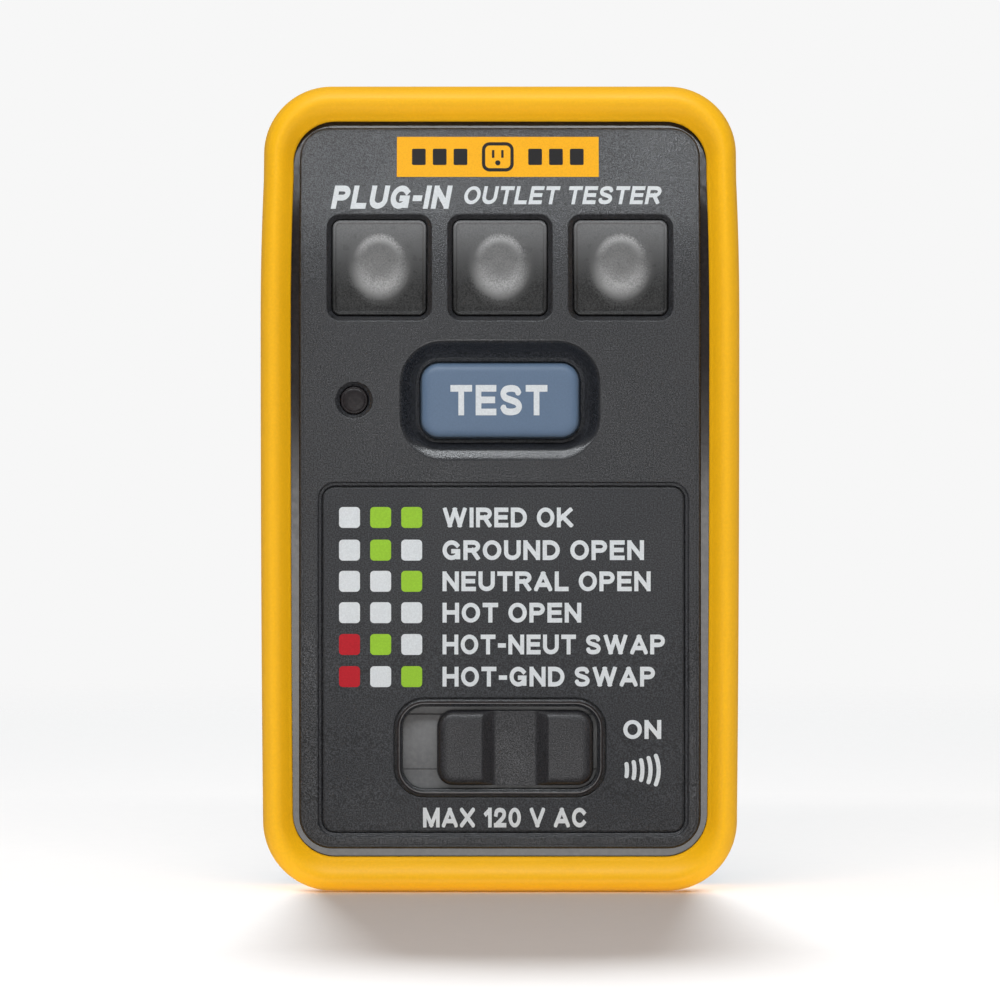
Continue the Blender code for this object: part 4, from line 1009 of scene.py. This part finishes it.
# Block capitals: a width, then the middle lines of the strokes in a unit box. An oval closes on itself.
OVAL = "oval"
S_CURVE = [(0.97, 0.77), (0.83, 0.95), (0.5, 1.0), (0.15, 0.94), (0.03, 0.765), (0.16, 0.60), (0.5, 0.505),
           (0.85, 0.405), (0.99, 0.235), (0.86, 0.06), (0.5, 0.0), (0.15, 0.05), (0.0, 0.24)]
TWO_CURVE = [(0.03, 0.70), (0.13, 0.92), (0.48, 1.0), (0.86, 0.92), (0.96, 0.73), (0.86, 0.52), (0.5, 0.28),
             (0.16, 0.08)]
STEM = [(0, 0), (0, 1)]
RIGHT_STEM = [(1, 0), (1, 1)]
TOP_BAR = [(0, 1), (1, 1)]
LOW_BAR = [(0, 0), (1, 0)]
GLYPHS = {
    "A": (1.00, [(0, 0), (0.5, 1)], [(1, 0), (0.5, 1)], [(0.2, 0.27), (0.8, 0.27)]),
    "C": (0.94, bend(0.5, 0.5, 0.5, 0.5, 40, 320, 20)),
    "D": (0.92, STEM, [(0, 1), *bend(0.4, 0.5, 0.6, 0.5, 90, -90), (0, 0)]),
    "E": (0.80, STEM, TOP_BAR, [(0, 0.51), (0.92, 0.51)], LOW_BAR),
    "G": (0.98, bend(0.5, 0.5, 0.5, 0.5, 40, 325, 20), [(0.96, 0.05), (0.96, 0.43)],
          [(0.62, 0.43), (0.96, 0.43)]),
    "H": (0.90, STEM, RIGHT_STEM, [(0, 0.52), (1, 0.52)]),
    "I": (0.0, STEM),
    "K": (0.95, STEM, [(0, 0.30), (0.90, 1)], [(0.30, 0.56), (0.95, 0)]),
    "L": (0.76, STEM, LOW_BAR),
    "M": (1.05, STEM, RIGHT_STEM, [(0.03, 1), (0.5, 0.02)], [(0.97, 1), (0.5, 0.02)]),
    "N": (0.90, STEM, RIGHT_STEM, [(0.02, 1), (0.98, 0)]),
    "O": (1.00, OVAL),
    "P": (0.84, STEM, [(0, 1), *bend(0.6, 0.735, 0.4, 0.265, 90, -90), (0, 0.47)]),
    "R": (0.90, STEM, [(0, 1), *bend(0.6, 0.745, 0.4, 0.255, 90, -90), (0, 0.49)], [(0.55, 0.49), (0.96, 0)]),
    "S": (0.86, curve_through(S_CURVE, 3)),
    "T": (0.84, TOP_BAR, [(0.5, 0), (0.5, 1)]),
    "U": (0.90, [(0, 1), *bend(0.5, 0.36, 0.5, 0.36, 180, 360), (1, 1)]),
    "V": (0.96, [(0, 1), (0.5, 0)], [(1, 1), (0.5, 0)]),
    "W": (1.40, [(0.03, 1), (0.26, 0)], [(0.5, 1), (0.26, 0)], [(0.5, 1), (0.74, 0)], [(0.97, 1), (0.74, 0)]),
    "X": (0.94, [(0, 0), (1, 1)], [(0, 1), (1, 0)]),
    "0": (0.78, OVAL),
    "1": (0.50, RIGHT_STEM, [(0.1, 0.74), (0.92, 0.98)]),
    "2": (0.78, curve_through(TWO_CURVE, 3), LOW_BAR, [(0.5, 0.28), (0.02, -0.02)]),
    "-": (0.46, [(0, 0.44), (1, 0.44)]),
    " ": (0.28,),
}
LETTER_GAP = 0.14


@functools.cache
def glyph_faces(letter, weight):
    """(width, faces) of one letter, one unit tall, with strokes of this weight."""
    width, *strokes = GLYPHS[letter]
    width = max(width, weight)
    wide, tall = width - weight, 1 - weight
    shapes = []
    for line in strokes:
        if line == OVAL:
            shapes.append((bend(width / 2, 0.5, width / 2, 0.5, 0, 360, 36)[:-1],
                           [bend(width / 2, 0.5, width / 2 - weight, 0.5 - weight * 0.92, 0, 360, 36)[:-1]]))
            continue
        points = [(weight / 2 + x * wide, weight / 2 + v * tall) for x, v in line]
        for end, before in ((0, 1), (-1, -2)) if letter != "S" else ():
            away = Vector(points[end]) - Vector(points[before])
            points[end] = tuple(Vector(points[end]) + away.normalized() * weight / 2)
        for first, second in zip(points, points[1:]):
            shapes.append((stroke([first, second], weight, False), []))
        shapes += [(circle(weight / 2, 12, joint), []) for joint in points[1:-1]]
    if not shapes:
        return width, []
    loops = [loop for outer, holes in shapes for loop in (outer, *holes)]
    loops.append([(0, 0), (0, 1), (width, 1), (width, 0)])
    flat, edges = chained(loops)
    found = geometry.delaunay_2d_cdt([Vector(p) for p in flat], edges, [], 0, 1e-4)
    points = [tuple(p) for p in found[0]]
    centres = [np.mean([points[i] for i in triangle], 0) for triangle in found[2]]
    inked = np.zeros(len(centres), bool)
    for outer, holes in shapes:
        inked |= between(outer, holes, centres)
    inked &= contains(loops[-1], centres)
    return width, [[points[i] for i in triangle] for triangle, kept in zip(found[2], inked) if kept]


def text_faces(text, cap_height, left, baseline, width, weight=0.225, slant=0.0):
    """Flat faces of a line of capitals, from left, as tall and as wide as asked."""
    natural, letters = 0.0, []
    for letter in text:
        wide, faces = glyph_faces(letter, weight)
        letters.append((natural, faces))
        natural += wide + LETTER_GAP
    stretch = width / (natural - LETTER_GAP + slant)
    placed = []
    for start, faces in letters:
        for face in faces:
            corners = [(left + (start + x + slant * v) * stretch, baseline + v * cap_height) for x, v in face]
            corners = [(round(x, 5), round(v, 5)) for x, v in corners]
            placed.append(corners if area_of(corners) > 0 else corners[::-1])
    return placed


def printed(name, material, groups, surface=on_face, body="case", lift=0.018):
    skin = Skin()
    for faces in groups:
        slab(skin, faces, surface, lift, sunk=0.02)
    piece(name, skin, [material], body, sharp=0)


def stroke(points, width, rounded=True):
    """A line of this width, with round or square ends, as a closed loop."""
    left, right = [], []
    for i, (x, v) in enumerate(points):
        x0, v0 = points[max(i - 1, 0)]
        x1, v1 = points[min(i + 1, len(points) - 1)]
        length = math.hypot(x1 - x0, v1 - v0)
        nx, nv = -(v1 - v0) / length * width / 2, (x1 - x0) / length * width / 2
        left.append((x + nx, v + nv))
        right.append((x - nx, v - nv))

    if not rounded:
        return left + right[::-1]

    def round_end(at, start):
        """Half a circle round the end point, clockwise from a side point."""
        angle = math.atan2(start[1] - at[1], start[0] - at[0])
        return [(at[0] + width / 2 * math.cos(angle - a), at[1] + width / 2 * math.sin(angle - a))
                for a in steps(0, math.pi, 8)[1:-1]]

    return left + round_end(points[-1], left[-1]) + right[::-1] + round_end(points[0], right[0])


def tablet(width, height, radius, centre, arc=2, hole=None):
    """Flat faces of a small rounded rectangle, or of a frame round a hole of this (width, height, radius)."""
    loops = [outline(rect(*shape), arc, 1, 1, centre) for shape in ((width, height, radius), hole) if shape]
    return shape_faces(loops[0], loops[1:])


SQUARE_INKS = {"W": ("squares_white", INK_WHITE), "G": ("squares_green", INK_GREEN),
               "R": ("squares_red", INK_RED)}
SQUARE_COLUMNS = (-13.67, -10.84, -8.02)
LEGEND_ROWS = [
    (-2.72, "WGG", "WIRED OK", 11.9),
    (-5.69, "WGW", "GROUND OPEN", 18.3),
    (-8.52, "WWG", "NEUTRAL OPEN", 18.9),
    (-11.37, "WWW", "HOT OPEN", 12.6),
    (-14.26, "RGW", "HOT-NEUT SWAP", 20.2),
    (-17.18, "RWG", "HOT-GND SWAP", 19.3),
]


def legend_print():
    squares = {colour: [] for colour in SQUARE_INKS}
    lines = []
    for v, pattern, text, width in LEGEND_ROWS:
        for x, colour in zip(SQUARE_COLUMNS, pattern):
            squares[colour].append(tablet(1.9, 1.9, 0.35, (x, v), 6))
        lines.append(text_faces(text, 1.8, -5.22, v - 0.9, width))
    for colour, (name, material) in SQUARE_INKS.items():
        printed(name, material, squares[colour])
    lines.append(text_faces("ON", 1.73, 11.2, SWITCH_V + 0.8, 3.45))
    lines.append(text_faces("MAX 120 V AC", 1.8, -7.0, -30.9, 14.9))
    radius, sound_v = 3.4, -25.68
    for x, height in zip((11.42, 12.1, 12.82, 13.56, 14.3), (1.1, 1.45, 1.8, 2.2, 2.6)):
        arc = [(x + math.sqrt(radius ** 2 - dv ** 2) - radius + 0.12, sound_v + dv)
               for dv in steps(-height / 2, height / 2, 8)]
        lines.append(shape_faces(stroke(arc, 0.38)))
    printed("legend_lettering", INK_WHITE, lines)


def face_print():
    badge_x, badge_v = -0.2, 30.15
    badge = outline(rect(18.4, 3.7, 0.05), 2, 24, 4, (badge_x, badge_v))
    printed("badge_field", INK_YELLOW, [shape_faces(badge)], lift=0.014)
    marks = [tablet(1.25, 1.5, 0.12, (badge_x + side * (3.4 + 1.9 * i), badge_v), 3)
             for side in (-1, 1) for i in range(3)]
    marks.append(tablet(2.9, 2.7, 0.7, (badge_x, badge_v), 6, (2.3, 2.1, 0.42)))
    marks += [tablet(0.22, 0.72, 0.05, (badge_x + side * 0.42, badge_v + 0.27)) for side in (-1, 1)]
    marks.append(shape_faces(circle(0.24, 16, (badge_x, badge_v - 0.55))))
    printed("badge_marks", INK_BLACK, marks, lift=0.03)
    titles = [text_faces("PLUG-IN", 2.14, -15.4, 25.36, 11.1, 0.25, 0.22),
              text_faces("OUTLET TESTER", 1.66, -3.4, 25.78, 18.2, 0.215, 0.22)]
    printed("title_lettering", INK_WHITE, titles)


def button_print():
    faces = text_faces("TEST", 2.75, BUTTON_X - 4.5, BUTTON_V - 1.38, 8.8, 0.22)
    printed("button_lettering", INK_WHITE, [faces], lambda depth: on_face(-0.5 + depth), "button")


def label_print():
    def surface(depth):
        return lambda x, v: (-x, node_box("rating_label")[1].y - depth, v)

    left, mark_x = -10.6, 7.6
    groups = [
        text_faces("OUTLET TESTER", 1.3, left, LABEL_V + 2.6, 14.0),
        text_faces("MAX 120 V AC", 1.3, left, LABEL_V - 0.3, 11.0),
        tablet(21.2, 0.18, 0.05, (0, LABEL_V + 1.85)),
        text_faces("TEST EACH OUTLET", 1.1, left, LABEL_V - 3.2, 13.0),
        tablet(5.6, 5.6, 1.2, (mark_x, LABEL_V - 1.5), 8, (4.9, 4.9, 0.9)),
    ]
    groups += [tablet(0.35, 1.4, 0.05, (mark_x + side * 0.8, LABEL_V - 0.9)) for side in (-1, 1)]
    groups.append(shape_faces(circle(0.45, 20, (mark_x, LABEL_V - 2.7))))
    printed("label_lettering", INK_BLACK, groups, surface)


for build in (front_cover, bumper, window_lenses, indicator, test_button, legend_plate, slide_knob,
              slide_shutter, rear_housing, case_screws, blades, ground_pin, rating_label, legend_print,
              face_print, button_print, label_print):
    build()

# ---------------------------------------------------------------- stage

scene = bpy.context.scene
scene.view_settings.view_transform = "Standard"
scene.view_settings.look = "None"

camera_data = bpy.data.cameras.new("camera")
camera = bpy.data.objects.new("camera", camera_data)
scene.collection.objects.link(camera)
scene.camera = camera
CAMERA_AWAY = 0.5
VIEW_WIDTH = 0.0908265  # of the view, at the face
VIEW_DOWN = 0.0011353  # how far the view's middle is below the case's
WORLD = 0.20
KEY, FILL, TOP, SIDE, LOW = 2.3, 0.78, 0.35, 0.5, 0.030
BUMPER_KEY, CROWN, PRONG_CARD = 0.75, 1.5, 0.5
KEY_COLOUR = (0.96, 1.0, 1.03)
KEY_PLACE, KEY_TARGET = (-0.05, -0.533, 0.349), (0, -0.03, 0)
FILL_HEIGHT = -0.131
SUN = 4.8
SUN_COLOUR = (0.86, 1.0, 1.11)
SUN_SIZE = math.radians(10)
SUN_WAY = (0.02, -0.82, -0.57)
FLOOR_COLOUR = (0.68, 0.585, 0.525)
BACKDROP_COLOUR = (0.93, 0.93, 0.93)
FLOOR_FADE = (0.15, 0.55)
FACE_Y = FACE * MM
camera_data.lens = camera_data.sensor_width * CAMERA_AWAY / VIEW_WIDTH
camera_data.clip_start, camera_data.clip_end = 0.01, 10
camera.location = (0, FACE_Y - CAMERA_AWAY, CENTRE_Z * MM - VIEW_DOWN)
camera.rotation_euler = (math.pi / 2, 0, 0)

world = bpy.data.worlds.new("world")
scene.world = world
world.use_nodes = True
world.node_tree.nodes["Background"].inputs["Color"].default_value = (1, 1, 1, 1)
world.node_tree.nodes["Background"].inputs["Strength"].default_value = WORLD


def group_of(name, *members):
    group = bpy.data.collections.new(name)
    for member in members:
        group.objects.link(bpy.data.objects[member])
    return group


def linked(light, receivers, blockers):
    """Lets a light fall on one group of objects only, shaded by another group only."""
    light.light_linking.receiver_collection = receivers
    light.light_linking.blocker_collection = blockers


def area_light(name, place, target, size, power, colour=(1, 1, 1), only=None):
    """A rectangular light that the camera doesn't see; only is the one group of objects that it lights."""
    data = bpy.data.lights.new(name, "AREA")
    data.shape = "RECTANGLE"
    data.size, data.size_y = size
    data.energy = power
    data.color = colour
    item = bpy.data.objects.new(name, data)
    item.location = place
    item.rotation_euler = (Vector(target) - Vector(place)).to_track_quat("-Z", "Y").to_euler()
    item.visible_camera = False
    scene.collection.objects.link(item)
    if only:
        linked(item, only, only)
    return item


BUMPER_ONLY = group_of("bumper_only", "bumper_ring")
FLOOR_ONLY = group_of("floor_only")
SHADOW_CASTERS = group_of("shadow_casters", "main_board")
PRONGS_ONLY = group_of("prongs_only", "ground_prong", "hot_prong", "neutral_prong")
NOT_BUMPER = group_of("not_bumper", "bumper_ring")
NOT_BUMPER.collection_objects[0].light_linking.link_state = "EXCLUDE"

key = area_light("key", KEY_PLACE, KEY_TARGET, (0.55, 0.07), KEY, KEY_COLOUR)
key.light_linking.receiver_collection = NOT_BUMPER
area_light("top", (-0.05, -0.10, 0.55), (0, -0.02, 0), (0.4, 0.3), TOP)
area_light("front_fill", (0, FACE_Y - CAMERA_AWAY, FILL_HEIGHT), (0, 0, FILL_HEIGHT), (0.16, 0.26), FILL)
area_light("bumper_key", KEY_PLACE, KEY_TARGET, (0.55, 0.2), BUMPER_KEY, only=BUMPER_ONLY)
area_light("crown", (0, -0.15, 0.5), (0, -0.02, 0), (0.3, 0.3), CROWN, only=BUMPER_ONLY)
for side in (-1, 1):
    area_light("side", (side * 0.45, -0.25, 0), (0, 0, 0), (0.4, 0.4), SIDE, only=BUMPER_ONLY)
    area_light("prong_card", (side * 0.35, 0.25, 0.10), (0, 0.01, 0), (0.4, 0.4), PRONG_CARD,
               only=PRONGS_ONLY)
area_light("low", (0, -0.07, -0.11), (0, -0.03, -0.03), (0.10, 0.05), LOW, only=BUMPER_ONLY)

sun_data = bpy.data.lights.new("floor_sun", "SUN")
sun_data.energy = SUN
sun_data.color = SUN_COLOUR
sun_data.angle = SUN_SIZE
sun = bpy.data.objects.new("floor_sun", sun_data)
sun.rotation_euler = Vector(SUN_WAY).to_track_quat("-Z", "Y").to_euler()
scene.collection.objects.link(sun)
linked(sun, FLOOR_ONLY, SHADOW_CASTERS)


def floor():
    """A round sheet of pale paper with a trace of fibre, which fades out into the backdrop."""
    skin = Skin()
    floor_v = node_box("bumper")[0].z - CENTRE_Z - 0.02
    rings = [[(x, y, floor_v) for x, y in circle(r, 64)] for r in (30, 80, 160, 320, 640, 900)]
    skin.band(rings)
    skin.face(rings[0])
    data = bpy.data.meshes.new("floor")
    skin.mesh.transform(TO_METRES)
    skin.mesh.to_mesh(data)
    skin.mesh.free()
    item = bpy.data.objects.new("floor", data)
    scene.collection.objects.link(item)
    item.visible_glossy = False
    FLOOR_ONLY.objects.link(item)

    material, tree = new_material("floor_paper", Roughness=0.9)
    fibre = noise(tree, 1000 / 1.5, 3.0)
    paper = blend_colour(tree, spread(tree, fibre, 0, 1), scaled(FLOOR_COLOUR, 0.985), FLOOR_COLOUR)
    plug(material, Base_Color=paper)
    away = tree.nodes.new("ShaderNodeVectorMath")
    away.operation = "LENGTH"
    tree.links.new(node(tree, "ShaderNodeTexCoord").outputs["Object"], away.inputs[0])
    mixer = node(tree, "ShaderNodeMixShader")
    tree.links.new(spread(tree, away.outputs["Value"], 0.0, 1.0, *FLOOR_FADE), mixer.inputs[0])
    tree.links.new(tree.nodes["Principled BSDF"].outputs[0], mixer.inputs[1])
    tree.links.new(node(tree, "ShaderNodeBsdfTransparent").outputs[0], mixer.inputs[2])
    tree.links.new(mixer.outputs[0], tree.nodes["Material Output"].inputs["Surface"])
    data.materials.append(material)


def backdrop():
    """A pale shell all round, seen by the camera only, so that it doesn't light the object."""
    bpy.ops.mesh.primitive_uv_sphere_add(segments=48, ring_count=24, radius=1.6)
    item = bpy.context.object
    item.name = "backdrop"
    for flag in ("visible_diffuse", "visible_glossy", "visible_transmission", "visible_shadow"):
        setattr(item, flag, False)
    item.data.materials.append(new_material(
        "backdrop_paper", Roughness=1.0, Base_Color=(0, 0, 0, 1), Specular_IOR_Level=0,
        Emission_Color=(*BACKDROP_COLOUR, 1), Emission_Strength=1.0)[0])


floor()
backdrop()
